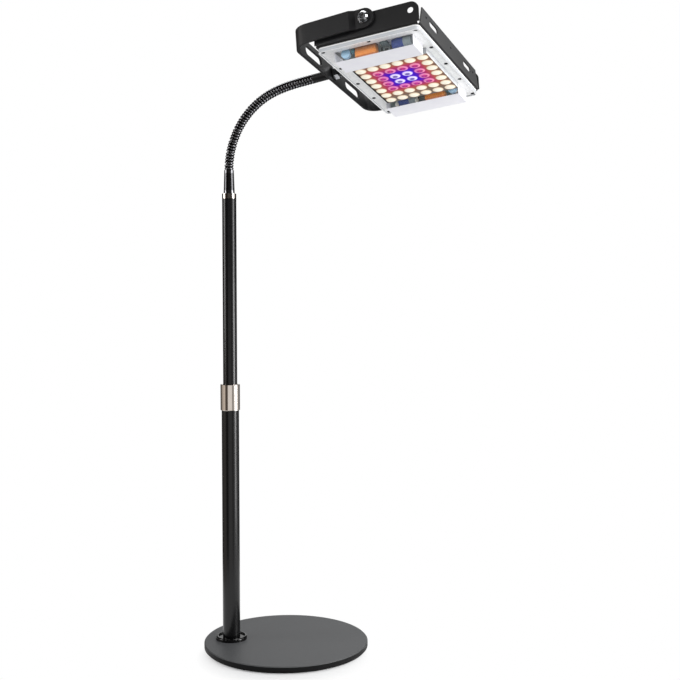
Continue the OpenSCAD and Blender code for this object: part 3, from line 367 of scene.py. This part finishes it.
# LED silicone: a smooth dome cast over the chip, lit from inside, with swirls of a deeper colour.
swirl_size = 2 * MM
led_finishes = {"white_leds": ("warm_white_led", "#fff1cf", "#ffe9a8"),
                "red_leds": ("red_led", "#ff6f86", "#c41238"),
                "violet_leds": ("violet_led", "#b39bff", "#4a1fd6")}
for node, (name, pale, deep) in led_finishes.items():
    silicone, tree, shader, place = finish(name, {"Roughness": 0.12, "Emission Strength": 0.6})
    swirl = add(tree, "TexNoise", {"Vector": place, "Scale": 1 / swirl_size, "Detail": 2})
    tone = add(tree, "Mix", {"Factor": swirl.outputs["Fac"], "A": linear(pale), "B": linear(deep)},
               data_type="RGBA")
    tree.links.new(tone.outputs["Result"], shader.inputs["Base Color"])
    tree.links.new(tone.outputs["Result"], shader.inputs["Emission Color"])
    dress(silicone, node)


# Driver parts
# Film capacitors dipped in orange epoxy, varistors in light blue, electrolytic cans in a dark blue sleeve,
# potted chips and rectifiers, all soldered to the board.

# Dipped epoxy: glossy, a little uneven, each with its own colour, and darker at the foot, as painted shade
# for the dim space near the board.
# Each part lists its finish's name, a light and a dark tone, the painted shade at its foot, and its
# roughness.
part_finishes = {"film_capacitors": ("orange_epoxy", "#ffa648", "#f2882a", "#7d5844", 0.3),
                 "varistors": ("light_blue_epoxy", "#c6e6fb", "#a2d3f2", "#7ba4bd", 0.3),
                 "driver_chips": ("grey_chip_epoxy", "#8d9e9f", "#7d9091", "#65777a", 0.5),
                 "rectifiers": ("teal_epoxy", "#5b8f98", "#4b7d86", "#39626a", 0.4)}
epoxy_run = 3 * MM
# The painted shade fades from the board's face out to full colour at this depth.
foot_z, bright_z = -25, -33
for node, (name, light, dark, foot, roughness) in part_finishes.items():
    epoxy, tree, shader, place = finish(name, {"Roughness": roughness})
    runs = add(tree, "TexNoise", {"Vector": place, "Scale": 1 / epoxy_run, "Detail": 2})
    tone = add(tree, "Mix", {"Factor": runs.outputs["Fac"], "A": linear(light), "B": linear(dark)},
               data_type="RGBA")
    spot = add(tree, "Mapping", {"Vector": place, **head_place})
    level = add(tree, "SeparateXYZ", {0: spot.outputs["Vector"]})
    shade_fade = add(tree, "MapRange", {"Value": level.outputs["Z"], "From Min": foot_z, "From Max": bright_z})
    tone = add(tree, "Mix", {"Factor": shade_fade.outputs["Result"], "A": linear(foot),
                             "B": tone.outputs["Result"]}, data_type="RGBA")
    tree.links.new(tone.outputs["Result"], shader.inputs["Base Color"])
    skin = add(tree, "Bump", {"Height": runs.outputs["Fac"], "Strength": 0.3, "Distance": 0.3 * MM})
    tree.links.new(skin.outputs["Normal"], shader.inputs["Normal"])
    dress(epoxy, node)

# Shrunk sleeve: dark blue film round the electrolytic can, which ends short of the can's bare aluminium
# end. Both cans point the same way, so a step that repeats along the head serves the two.
sleeve_crease = 3 * MM
cans_apart, sleeve_end, sleeve_blur = 60, 41.5, 0.2
sleeve, tree, shader, place = finish("dark_blue_sleeve", {"Roughness": 0.3})
creases = add(tree, "TexNoise", {"Vector": place, "Scale": 1 / sleeve_crease, "Detail": 2})
tone = add(tree, "Mix", {"Factor": creases.outputs["Fac"], "A": linear("#3f559e"), "B": linear("#2d3f80")},
           data_type="RGBA")
spot = add(tree, "Mapping", {"Vector": place, **head_place})
along = add(tree, "SeparateXYZ", {0: spot.outputs["Vector"]})
can_x = add(tree, "Math", {0: along.outputs["X"], 1: cans_apart}, operation="FLOORED_MODULO")
bare = add(tree, "MapRange", {"Value": can_x.outputs[0], "From Min": sleeve_end - sleeve_blur,
                              "From Max": sleeve_end + sleeve_blur})
tone = add(tree, "Mix", {"Factor": bare.outputs["Result"], "A": tone.outputs["Result"],
                         "B": linear("#8f9b9d")}, data_type="RGBA")
tree.links.new(tone.outputs["Result"], shader.inputs["Base Color"])
skin = add(tree, "Bump", {"Height": creases.outputs["Fac"], "Strength": 0.3, "Distance": 0.3 * MM})
tree.links.new(skin.outputs["Normal"], shader.inputs["Normal"])
dress(sleeve, "bulk_capacitors")


# Driver boards
# A strip of glass-fibre laminate stands behind the driver parts in each box, soldered to the LED board
# along its foot. It carries the small chips, and its mask is the ground between the larger parts.

at_head = Matrix.Translation(pivot) @ head_axes.to_4x4() @ Matrix.Scale(MM, 4)


def loft(bm, rings):
    """Joins closed rings of points one after another, and closes both ends."""
    loops = [[bm.verts.new(p) for p in ring] for ring in rings]
    for one, two in zip(loops, loops[1:]):
        for i in range(len(one)):
            j = (i + 1) % len(one)
            bm.faces.new((one[i], one[j], two[j], two[i]))
    bm.faces.new(loops[0][::-1])
    bm.faces.new(loops[-1])


def put(name, bm, material, sharp=30):
    """Makes a piece of a mesh that is drawn in the head's millimetres, and fixes it to the head."""
    bmesh.ops.recalc_face_normals(bm, faces=bm.faces)
    bm.transform(at_head)
    mesh = bpy.data.meshes.new(name)
    bm.to_mesh(mesh)
    bm.free()
    mesh.materials.append(material)
    mesh.shade_smooth()
    mesh.set_sharp_from_angle(angle=math.radians(sharp))
    piece = bpy.data.objects.new(name, mesh)
    bpy.context.scene.collection.objects.link(piece)
    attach(piece, "head")


# Glass-fibre laminate: a grey-green solder mask over faint copper tracks, with a dull gloss.
track_pitch = 2.5
laminate, tree, shader, place = finish("driver_laminate", {"Roughness": 0.45})
spot = add(tree, "Mapping", {"Vector": place, **head_place})
flat = add(tree, "Mapping", {"Vector": spot.outputs["Vector"], "Rotation": (math.radians(90), 0, 0)})
tracks = add(tree, "TexBrick", {"Vector": flat.outputs["Vector"], "Scale": 1 / track_pitch,
                                "Color1": linear("#93a29f"), "Color2": linear("#a4b3b0"),
                                "Mortar": linear("#788682"), "Mortar Size": 0.06, "Mortar Smooth": 0.3})
tree.links.new(tracks.outputs["Color"], shader.inputs["Base Color"])
step = add(tree, "Bump", {"Height": tracks.outputs["Fac"], "Strength": 0.2, "Distance": 0.1 * MM},
           invert=True)
tree.links.new(step.outputs["Normal"], shader.inputs["Normal"])

# Chip epoxy: moulded, dark grey and matt, with a fine mineral grain.
chip_grain = 0.6 * MM
chip_epoxy, tree, shader, place = finish("black_chip_epoxy", {"Roughness": 0.55, "Specular IOR Level": 0.35})
grain = add(tree, "TexNoise", {"Vector": place, "Scale": 1 / chip_grain, "Detail": 2})
tone = add(tree, "Mix", {"Factor": grain.outputs["Fac"], "A": linear("#39403f"), "B": linear("#4a5352")},
           data_type="RGBA")
tree.links.new(tone.outputs["Result"], shader.inputs["Base Color"])

# Each strip stands on three feet, and the arches between them clear the parts' leads. A chip has its place
# along the strip, its place in height, its length and its height.
board_face = -24
strip_y, strip_t = 85, 1.6
strip_top, dip_z, arch_z = -37.5, -35, -25.2
strip_edge = [(-46, board_face), (-46, -36), (-44.5, strip_top), (-9, strip_top), (-7.5, dip_z),
              (2.5, dip_z), (4, strip_top), (49.5, strip_top), (51, -36), (51, board_face),
              (31, board_face), (30, arch_z), (16, arch_z), (15, board_face),
              (-12, board_face), (-13, arch_z), (-27, arch_z), (-28, board_face)]
chip_places = [(8.5, -29.5, 3.2, 5.0), (14.5, -31.5, 5.0, 3.4), (15.0, -35.0, 2.4, 1.6),
               (21.5, -29.5, 3.6, 6.0), (-20.0, -34.5, 3.0, 2.0), (38.0, -33.5, 4.2, 3.0)]
chip_steps = ((0.0, 0.0), (0.5, 0.0), (1.1, 0.35))
for side, s in (("near", 1), ("far", -1)):
    bm = bmesh.new()
    loft(bm, [[(s * x, -s * strip_y + y, z) for x, z in strip_edge] for y in (-strip_t / 2, strip_t / 2)])
    put(side + "_driver_board", bm, laminate)
    bm = bmesh.new()
    for x, z, length, height in chip_places:
        rings = []
        for out, inset in chip_steps:
            a, b = length / 2 - inset, height / 2 - inset
            rings.append([(s * x + u * a, -s * strip_y - strip_t / 2 - out, z + v * b)
                          for u, v in ((-1, -1), (1, -1), (1, 1), (-1, 1))])
        loft(bm, rings)
    put(side + "_driver_board_chips", bm, chip_epoxy)


# Posts of the far box
# Two posts with domed heads, turned from nylon rod.
# They are screwed to the LED board, beside the far box's driver parts.

post_places = [(-36.5, 73.4), (-6.7, 73.4)]
post_profile = [(1.5, board_face), (1.5, -33.4), (2.5, -33.8), (2.6, -36.6), (2.2, -37.7), (1.3, -38.4),
                (0.4, -38.6)]
post_sides = 24
turns = [2 * math.pi * i / post_sides for i in range(post_sides)]
bm = bmesh.new()
for x, y in post_places:
    loft(bm, [[(x + r * math.cos(a), y + r * math.sin(a), z) for a in turns] for r, z in post_profile])
put("far_box_posts", bm, nylon, 50)


# Gasket, cover screws and nuts
# A frame cut from white silicone sheet, pressed between the tray and the cover's flange.
# Black pan-head screws go through all three, into zinc-plated nuts behind the tray.

# Silicone rubber: white, soft-looking and slightly dusty.
dust_size = 6 * MM
silicone_rubber, tree, shader, place = finish("white_silicone", {
    "Roughness": 0.6, "Specular IOR Level": 0.35})
dust = add(tree, "TexNoise", {"Vector": place, "Scale": 1 / dust_size, "Detail": 4})
tone = add(tree, "Mix", {"Factor": dust.outputs["Fac"], "A": linear("#eeeeec"), "B": linear("#dcdcda")},
           data_type="RGBA")
tree.links.new(tone.outputs["Result"], shader.inputs["Base Color"])
dress(silicone_rubber, "cover_gasket")
dress(black_oxide, "cover_screws")
dress(zinc_plate, "cover_nuts")


# Lens cover
# One moulding of polycarbonate: a screwed flange, a box at each end over the driver parts, and a raised
# field with a lens over each LED. The boxes' long walls are clear, and the rest is satin from an etched tool.

# Clear polycarbonate: a hard gloss with only a faint veil, so the driver parts show through it.
veil_size = 9 * MM
clear_pc, tree, shader, place = finish("clear_polycarbonate", {"Roughness": 0.06, "Alpha": 0.03, "IOR": 1.58})
veil = add(tree, "TexNoise", {"Vector": place, "Scale": 1 / veil_size, "Detail": 2})
tone = add(tree, "Mix", {"Factor": veil.outputs["Fac"], "A": linear("#f6f8fb"), "B": linear("#dfe5ea")},
           data_type="RGBA")
tree.links.new(tone.outputs["Result"], shader.inputs["Base Color"])
dress(clear_pc, "lens_cover")

# Lit lenses: clear plastic over a lit LED. Each lens has its LED's light painted in as a glow, and the
# plate between the lenses has the colours of the LEDs next to it painted on. Below, the pattern's unit is
# one LED pitch, and a ring is counted out from the middle of the four violet LEDs: red LEDs begin at 1 and
# white ones at 2.
led_pitch = 17.4
led_shift, led_far_shift = 5.5, 3
led_columns, led_rows = 6, 7
lens_r = 7.6 / led_pitch
violet_middle = 3
red_ring, white_ring = 1.0, 2.0
first_cell = (led_columns / 2 - led_shift / led_pitch, led_rows / 2 - led_far_shift / led_pitch, 0)
lit_lens, tree, shader, place = finish("lit_polycarbonate_lens", {
    "Roughness": 0.3, "Specular IOR Level": 0.1, "Emission Strength": 0.12})
spot = add(tree, "Mapping", {"Vector": place, **head_place})
cell = add(tree, "VectorMath", {0: spot.outputs["Vector"], 1: (1 / led_pitch, 1 / led_pitch, 0),
                                2: first_cell}, operation="MULTIPLY_ADD")
from_middle = add(tree, "VectorMath", {0: cell.outputs[0], 1: (violet_middle, violet_middle, 0)},
                  operation="SUBTRACT")
apart = add(tree, "VectorMath", {0: from_middle.outputs[0]}, operation="ABSOLUTE")
steps = add(tree, "SeparateXYZ", {0: apart.outputs[0]})
ring = add(tree, "Math", {0: steps.outputs["X"], 1: steps.outputs["Y"]}, operation="MAXIMUM")

# The painted glow on the plate between the lenses, from the violet middle out to four pitches.
plate_rings = 4
ring_share = add(tree, "Math", {0: ring.outputs[0], 1: 1 / plate_rings}, operation="MULTIPLY")
between = add(tree, "ValToRGB", {"Fac": ring_share.outputs[0]}, [
    (0.0, "#3a0ac4"), (0.25, "#420cbc"), (0.34, "#8a1690"), (0.45, "#b02a62"), (0.55, "#b05a48"),
    (0.65, "#8a5f48"), (0.8, "#77685c"), (1.0, "#6a6662")])

# The lenses' painted glow, with painted highlight rings, from their middles out to their rims. Each red LED
# shows its two dark chips, and the violet light is painted as spilling over it.
chip_off, chip_r = 0.15, 0.085
part = add(tree, "VectorMath", {0: cell.outputs[0]}, operation="FRACTION")
spot = add(tree, "VectorMath", {0: part.outputs[0], 1: (0.5, 0.5, 0)}, operation="SUBTRACT")
radius = add(tree, "VectorMath", {0: spot.outputs[0]}, operation="LENGTH")
share = add(tree, "Math", {0: radius.outputs["Value"], 1: lens_r}, operation="DIVIDE")
white_lens = add(tree, "ValToRGB", {"Fac": share.outputs[0]}, [
    (0.0, "#f4ecd4"), (0.55, "#f8f2e2"), (0.82, "#f2e5cc"), (1.0, "#cdb294")])
red_lens = add(tree, "ValToRGB", {"Fac": share.outputs[0]}, [
    (0.0, "#cc3257"), (0.4, "#c0244a"), (0.62, "#ee7f97"), (0.8, "#f5a2b2"), (1.0, "#b52f51")])
violet_lens = add(tree, "ValToRGB", {"Fac": share.outputs[0]}, [
    (0.0, "#7a6cc0"), (0.35, "#6a58a8"), (0.5, "#d0c4fa"), (0.75, "#f2eeff"), (0.9, "#a88cf0"),
    (1.0, "#7a3ae0")])
mirrored = add(tree, "VectorMath", {0: spot.outputs[0]}, operation="ABSOLUTE")
from_chip = add(tree, "VectorMath", {0: mirrored.outputs[0], 1: (chip_off, 0.0, 0.0)}, operation="DISTANCE")
chip = add(tree, "Math", {0: from_chip.outputs["Value"], 1: chip_r}, operation="LESS_THAN")
red_chips = add(tree, "Mix", {"Factor": chip.outputs[0], "A": red_lens.outputs["Color"],
                              "B": linear("#6d0d24")}, data_type="RGBA")
spill = add(tree, "MapRange", {"Value": ring.outputs[0], "From Min": red_ring, "From Max": white_ring,
                               "To Min": 0.5, "To Max": 0.05})
red_light = add(tree, "Mix", {"Factor": spill.outputs["Result"], "A": red_chips.outputs["Result"],
                              "B": linear("#b64ad8")}, data_type="RGBA")
is_red = add(tree, "Math", {0: ring.outputs[0], 1: white_ring}, operation="LESS_THAN")
is_violet = add(tree, "Math", {0: ring.outputs[0], 1: red_ring}, operation="LESS_THAN")
colour = add(tree, "Mix", {"Factor": is_red.outputs[0], "A": white_lens.outputs["Color"],
                           "B": red_light.outputs["Result"]}, data_type="RGBA")
colour = add(tree, "Mix", {"Factor": is_violet.outputs[0], "A": colour.outputs["Result"],
                           "B": violet_lens.outputs["Color"]}, data_type="RGBA")
in_lens = add(tree, "Math", {0: share.outputs[0], 1: 1.0}, operation="LESS_THAN")
colour = add(tree, "Mix", {"Factor": in_lens.outputs[0], "A": between.outputs["Color"],
                           "B": colour.outputs["Result"]}, data_type="RGBA")
tree.links.new(colour.outputs["Result"], shader.inputs["Base Color"])
tree.links.new(colour.outputs["Result"], shader.inputs["Emission Color"])

# Satin polycarbonate: milky white from the etched tool, so hardly anything shows through the boxes' fronts.
# A faint painted glow stands for the light that the lit LEDs send along it.
satin_cloud = 14 * MM
satin_pc, tree, shader, place = finish("satin_polycarbonate", {
    "Roughness": 0.3, "Alpha": 0.94, "IOR": 1.58, "Emission Color": linear("#f4f2fa"),
    "Emission Strength": 0.1})
cloud = add(tree, "TexNoise", {"Vector": place, "Scale": 1 / satin_cloud, "Detail": 3})
tone = add(tree, "Mix", {"Factor": cloud.outputs["Fac"], "A": linear("#ececee"), "B": linear("#e0dfe6")},
           data_type="RGBA")
tree.links.new(tone.outputs["Result"], shader.inputs["Base Color"])

# Thick satin flange: the same skin over the white gasket, with the fine speckle of the etched steel. The
# speckle is drawn at three times its size, so that it shows in the picture.
speckle_size = 2.4 * MM
flange_pc, tree, shader, place = finish("satin_polycarbonate_flange", {
    "Roughness": 0.4, "Alpha": 0.95, "IOR": 1.58})
speckle = add(tree, "TexNoise", {"Vector": place, "Scale": 1 / speckle_size, "Detail": 3})
tone = add(tree, "ValToRGB", {"Fac": speckle.outputs["Fac"]}, [
    (0.35, "#e6e6e5"), (0.5, "#f2f2f1"), (0.7, "#f8f8f7")])
tree.links.new(tone.outputs["Color"], shader.inputs["Base Color"])
skin = add(tree, "Bump", {"Height": speckle.outputs["Fac"], "Strength": 0.15, "Distance": 0.2 * MM})
tree.links.new(skin.outputs["Normal"], shader.inputs["Normal"])

# Edges of the flange: seen through their length, and greyer than the faces as painted shade, so that they
# draw its outline.
edge_cloud = 14 * MM
shaded_edge_pc, tree, shader, place = finish("polycarbonate_edge_painted_shade", {"Roughness": 0.25, "IOR": 1.58})
waves = add(tree, "TexNoise", {"Vector": place, "Scale": 1 / edge_cloud, "Detail": 3})
tone = add(tree, "Mix", {"Factor": waves.outputs["Fac"], "A": linear("#b4b7ba"), "B": linear("#cacccf")},
           data_type="RGBA")
tree.links.new(tone.outputs["Result"], shader.inputs["Base Color"])

# Each face of the moulding takes its skin from its place and its lean.
clear_skin, lens_skin, satin_skin, flange_skin, edge_skin = range(5)
flange_z, field_z, box_z = -27, -35, -41
field_w = led_rows * led_pitch
lens_z, lens_reach = field_z - 0.9, 1
box_middle, box_l, box_w, box_y = 3, 107, 34, 102
slack, steep = 0.1, 0.7
to_head = at_head.inverted()
cover = nodes["lens_cover"].data
for material in (lit_lens, satin_pc, flange_pc, shaded_edge_pc):
    cover.materials.append(material)
for face in cover.polygons:
    middle = to_head @ face.center
    normal = turn_to_head @ face.normal
    along, out = abs(middle.x - box_middle), abs(middle.y)
    over_leds = abs(middle.y - led_far_shift) < field_w / 2 + slack and abs(middle.z - lens_z) < lens_reach
    in_box_plan = box_y - box_w - slack < out < box_y + slack and along < box_l / 2 + slack
    if over_leds and normal.z < -slack:
        face.material_index = lens_skin
    elif in_box_plan and middle.z < flange_z - slack / 2:
        outside = middle.z < box_z + slack or along > box_l / 2 - slack
        face.material_index = satin_skin if outside and abs(normal.y) < steep else clear_skin
    else:
        # Steep faces of the flange take the greyer skin, as painted shade.
        face.material_index = flange_skin if abs(normal.z) > steep else edge_skin


# Sealing bead and shadow line
# A run of black silicone sealant along the lens field's edge that faces the neck, black as painted shadow.
# It is laid from a nozzle held by hand, so it swells and narrows a little, and thins at both ends.

# Sealant: black and rubbery, with the faint waves of a hand-held nozzle.
# Its black stands for the painted shadow line along the field's edge.
wave_size = 7 * MM
sealant_shadow_line, tree, shader, place = finish("black_sealant_shadow_line", {"Specular IOR Level": 0.3})
waves = add(tree, "TexNoise", {"Vector": place, "Scale": 1 / wave_size, "Detail": 2})
tone = add(tree, "Mix", {"Factor": waves.outputs["Fac"], "A": linear("#0c0b0a"), "B": linear("#191613")},
           data_type="RGBA")
tree.links.new(tone.outputs["Result"], shader.inputs["Base Color"])
dull = add(tree, "MapRange", {"Value": waves.outputs["Fac"], "To Min": 0.45, "To Max": 0.65})
tree.links.new(dull.outputs["Result"], shader.inputs["Roughness"])

bead_w, bead_h = 2.6, 0.9
bead_x = led_shift - led_columns * led_pitch / 2 + bead_w / 2
bead_end_gap = 0.3
bead_half_l = field_w / 2 - bead_end_gap
bead_steps, taper_steps, arc_steps = 61, 2, 8
bead_tip, bead_swell, swell_turn = 0.35, 0.06, 1.7
half_turn = [math.pi * k / arc_steps for k in range(arc_steps + 1)]
rings = []
for i in range(bead_steps + 1):
    y = led_far_shift - bead_half_l + 2 * bead_half_l * i / bead_steps
    taper = min(1.0, bead_tip + (1 - bead_tip) * math.sqrt(min(i, bead_steps - i) / taper_steps))
    size = taper * (1 + bead_swell * math.sin(i * swell_turn))
    rings.append([(bead_x + bead_w / 2 * size * math.cos(a), y, field_z - bead_h * size * max(0, math.sin(a)))
                  for a in half_turn])
bm = bmesh.new()
loft(bm, rings)
put("sealing_bead_shadow_line", bm, sealant_shadow_line, 60)


# Camera
# The photograph looks at the lamp from a little above its middle, almost level.
# A long lens from 1.65 m away keeps the pole nearly upright in the picture.

look_down, look_left = 3.25, 2.47
camera_data = bpy.data.cameras.new("camera")
camera_data.lens = 60
camera_data.sensor_width = 36
camera = bpy.data.objects.new("camera", camera_data)
bpy.context.scene.collection.objects.link(camera)
camera.location = (0.1500, -1.6389, 0.5445)
camera.rotation_euler = (math.radians(90 - look_down), 0, math.radians(look_left))
bpy.context.scene.camera = camera


# Floor
# A sheet of matt paper under the foot, laid flat.
# It keeps the foot's soft shadow close round the foot, and is pure white further out.

floor_half = 0.4
shade_middle = (0, -0.045, 0)
shade_r, white_r = 0.08, 0.125
floor_corners = [(u * floor_half, v * floor_half, 0) for u, v in ((-1, -1), (1, -1), (1, 1), (-1, 1))]
floor_mesh = bpy.data.meshes.new("floor")
floor_mesh.from_pydata(floor_corners, [], [(0, 1, 2, 3)])
floor = bpy.data.objects.new("floor", floor_mesh)
bpy.context.scene.collection.objects.link(floor)

# Paper: matt, with a faint fibre that is drawn coarser than it is. Away from the foot it is pure white to
# the camera, in mirrors and through clear plastic.
paper_fibre = 4 * MM
paper, tree, shader, place = finish("white_paper", {"Roughness": 0.9, "Specular IOR Level": 0.1})
fibre = add(tree, "TexNoise", {"Vector": place, "Scale": 1 / paper_fibre, "Detail": 2})
tone = add(tree, "Mix", {"Factor": fibre.outputs["Fac"], "A": linear("#bebebe"), "B": linear("#b9b9b9")},
           data_type="RGBA")
tree.links.new(tone.outputs["Result"], shader.inputs["Base Color"])
shine = add(tree, "Emission", {"Color": linear("#ffffff"), "Strength": 1.0})
path = add(tree, "LightPath")
seen = add(tree, "Math", {0: path.outputs["Is Camera Ray"], 1: path.outputs["Is Glossy Ray"]},
           operation="MAXIMUM")
seen = add(tree, "Math", {0: seen.outputs[0], 1: path.outputs["Is Transmission Ray"]}, operation="MAXIMUM")
away = add(tree, "VectorMath", {0: place, 1: shade_middle}, operation="DISTANCE")
white_share = add(tree, "MapRange", {"Value": away.outputs["Value"], "From Min": shade_r,
                                     "From Max": white_r})
part = add(tree, "Math", {0: seen.outputs[0], 1: white_share.outputs["Result"]}, operation="MULTIPLY")
mixed = add(tree, "MixShader", {"Fac": part.outputs[0], 1: shader.outputs[0], 2: shine.outputs[0]})
tree.links.new(mixed.outputs[0], tree.nodes["Material Output"].inputs["Surface"])
floor_mesh.materials.append(paper)


# Studio
# A pale room that lights the lamp evenly and looks white to the camera.
# Shiny pieces see its walls instead: white cards beside dark flags, which draw their edges and highlights.

world = bpy.data.worlds.new("studio")
bpy.context.scene.world = world
world.use_nodes = True
tree = world.node_tree
path = add(tree, "LightPath")
look = add(tree, "SeparateXYZ", {0: add(tree, "TexCoord").outputs["Generated"]})
front = add(tree, "Math", {0: look.outputs["Y"], 1: -1.0}, operation="MULTIPLY")
azimuth = add(tree, "Math", {0: look.outputs["X"], 1: front.outputs[0]}, operation="ARCTAN2")
turn = add(tree, "MapRange", {"Value": azimuth.outputs[0], "From Min": -math.pi, "From Max": math.pi})

# Cards and flags along the walls, as shares of a turn: 0 is behind the lamp, 0.25 at its left, 0.5 at the
# camera and 0.75 at its right.
upper_walls = add(tree, "ValToRGB", {"Fac": turn.outputs["Result"]}, [
    (0.0, "#fafafa"), (0.03, "#fafafa"), (0.05, "#161616"), (0.17, "#161616"), (0.2, "#8a8077"),
    (0.34, "#85796f"), (0.37, "#1f1b18"), (0.44, "#1f1b18"), (0.47, "#464442"), (0.56, "#464442"),
    (0.6, "#2b2a29"), (0.64, "#3a3938"), (0.67, "#f8f8f8"), (0.78, "#f4f4f4"), (0.81, "#1c1c1c"),
    (0.95, "#1c1c1c"), (0.97, "#fafafa"), (1.0, "#fafafa")])
lower_walls = add(tree, "ValToRGB", {"Fac": turn.outputs["Result"]}, [
    (0.0, "#fafafa"), (0.03, "#fafafa"), (0.05, "#4c4a48"), (0.17, "#5a5652"), (0.23, "#b0a89f"),
    (0.33, "#d4cac0"), (0.37, "#4a433e"), (0.43, "#5a524c"), (0.455, "#eceae8"), (0.57, "#e6e4e2"),
    (0.6, "#7a7774"), (0.62, "#7a7774"), (0.65, "#f8f8f8"), (0.79, "#f4f4f4"), (0.83, "#6c6c6c"),
    (0.95, "#7c7c7c"), (0.97, "#fafafa"), (1.0, "#fafafa")])
below = add(tree, "MapRange", {"Value": look.outputs["Z"], "From Min": 0.01, "From Max": -0.03})
level_walls = add(tree, "Mix", {"Factor": below.outputs["Result"], "A": upper_walls.outputs["Color"],
                                "B": lower_walls.outputs["Color"]}, data_type="RGBA")

# The ceiling and the ground are dark, so that they put no sheen on the neck's ribs.
height = add(tree, "Math", {0: look.outputs["Z"]}, operation="ABSOLUTE")
overhead = add(tree, "MapRange", {"Value": height.outputs[0], "From Min": 0.38, "From Max": 0.55})
studio_walls = add(tree, "Mix", {"Factor": overhead.outputs["Result"], "A": level_walls.outputs["Result"],
                                 "B": linear("#2c2c2c")}, data_type="RGBA")

# The room's own light is a trace cooler than white.
room_light = (0.97, 0.98, 1.0, 1)
soft = add(tree, "Background", {"Color": room_light, "Strength": 0.7})
walls = add(tree, "Background", {"Color": studio_walls.outputs["Result"], "Strength": 1.0})
white = add(tree, "Background", {"Color": linear("#ffffff"), "Strength": 1.0})
mirror = add(tree, "MixShader", {"Fac": path.outputs["Is Glossy Ray"], 1: soft.outputs[0],
                                 2: walls.outputs[0]})
seen = add(tree, "Math", {0: path.outputs["Is Camera Ray"], 1: path.outputs["Is Transmission Ray"]},
           operation="MAXIMUM")
both = add(tree, "MixShader", {"Fac": seen.outputs[0], 1: mirror.outputs[0], 2: white.outputs[0]})
tree.links.new(both.outputs[0], tree.nodes["World Output"].inputs["Surface"])


# Softboxes
# Cloth-fronted lamps on stands: tall ones at both sides, a low one for the pole's foot, one behind the head,
# two small ones in front for the neck and the pivots, and a wide one overhead. Sizes are in metres and watts.

def softbox(name, spot, aim, width, height, power):
    """A rectangular lamp, turned towards a point."""
    lamp = bpy.data.lights.new(name, "AREA")
    lamp.shape = "RECTANGLE"
    lamp.size = width
    lamp.size_y = height
    lamp.energy = power
    body = bpy.data.objects.new(name, lamp)
    bpy.context.scene.collection.objects.link(body)
    body.location = spot
    body.rotation_euler = (Vector(aim) - Vector(spot)).to_track_quat("-Z", "Y").to_euler()


softbox("right_softbox", spot=(1.51, -0.35, 0.78), aim=(-0.05, 0, 0.6), width=0.5, height=1.3, power=14)
softbox("low_right_softbox", spot=(0.62, -0.16, 0.27), aim=(-0.08, 0, 0.2), width=0.24, height=0.5, power=1.9)
softbox("left_softbox", spot=(-1.6, -0.28, 0.85), aim=(-0.08, 0, 0.65), width=0.6, height=1.0, power=9)
softbox("rear_softbox", spot=(1.3, 0.6, 1.3), aim=(0.15, -0.1, 0.82), width=0.6, height=0.9, power=3)
softbox("front_right_softbox", spot=(1.1, -1.0, 1.35), aim=(0.05, 0, 0.75), width=0.4, height=0.4, power=10)
softbox("front_left_softbox", spot=(-1.05, -1.0, 1.35), aim=(0.05, 0, 0.75), width=0.25, height=0.25,
        power=2)
softbox("top_softbox", spot=(0.1, 0.7, 2.1), aim=(0, 0, 0), width=1.2, height=1.2, power=22)

# Colours come out as they are written.
bpy.context.scene.view_settings.view_transform = "Standard"
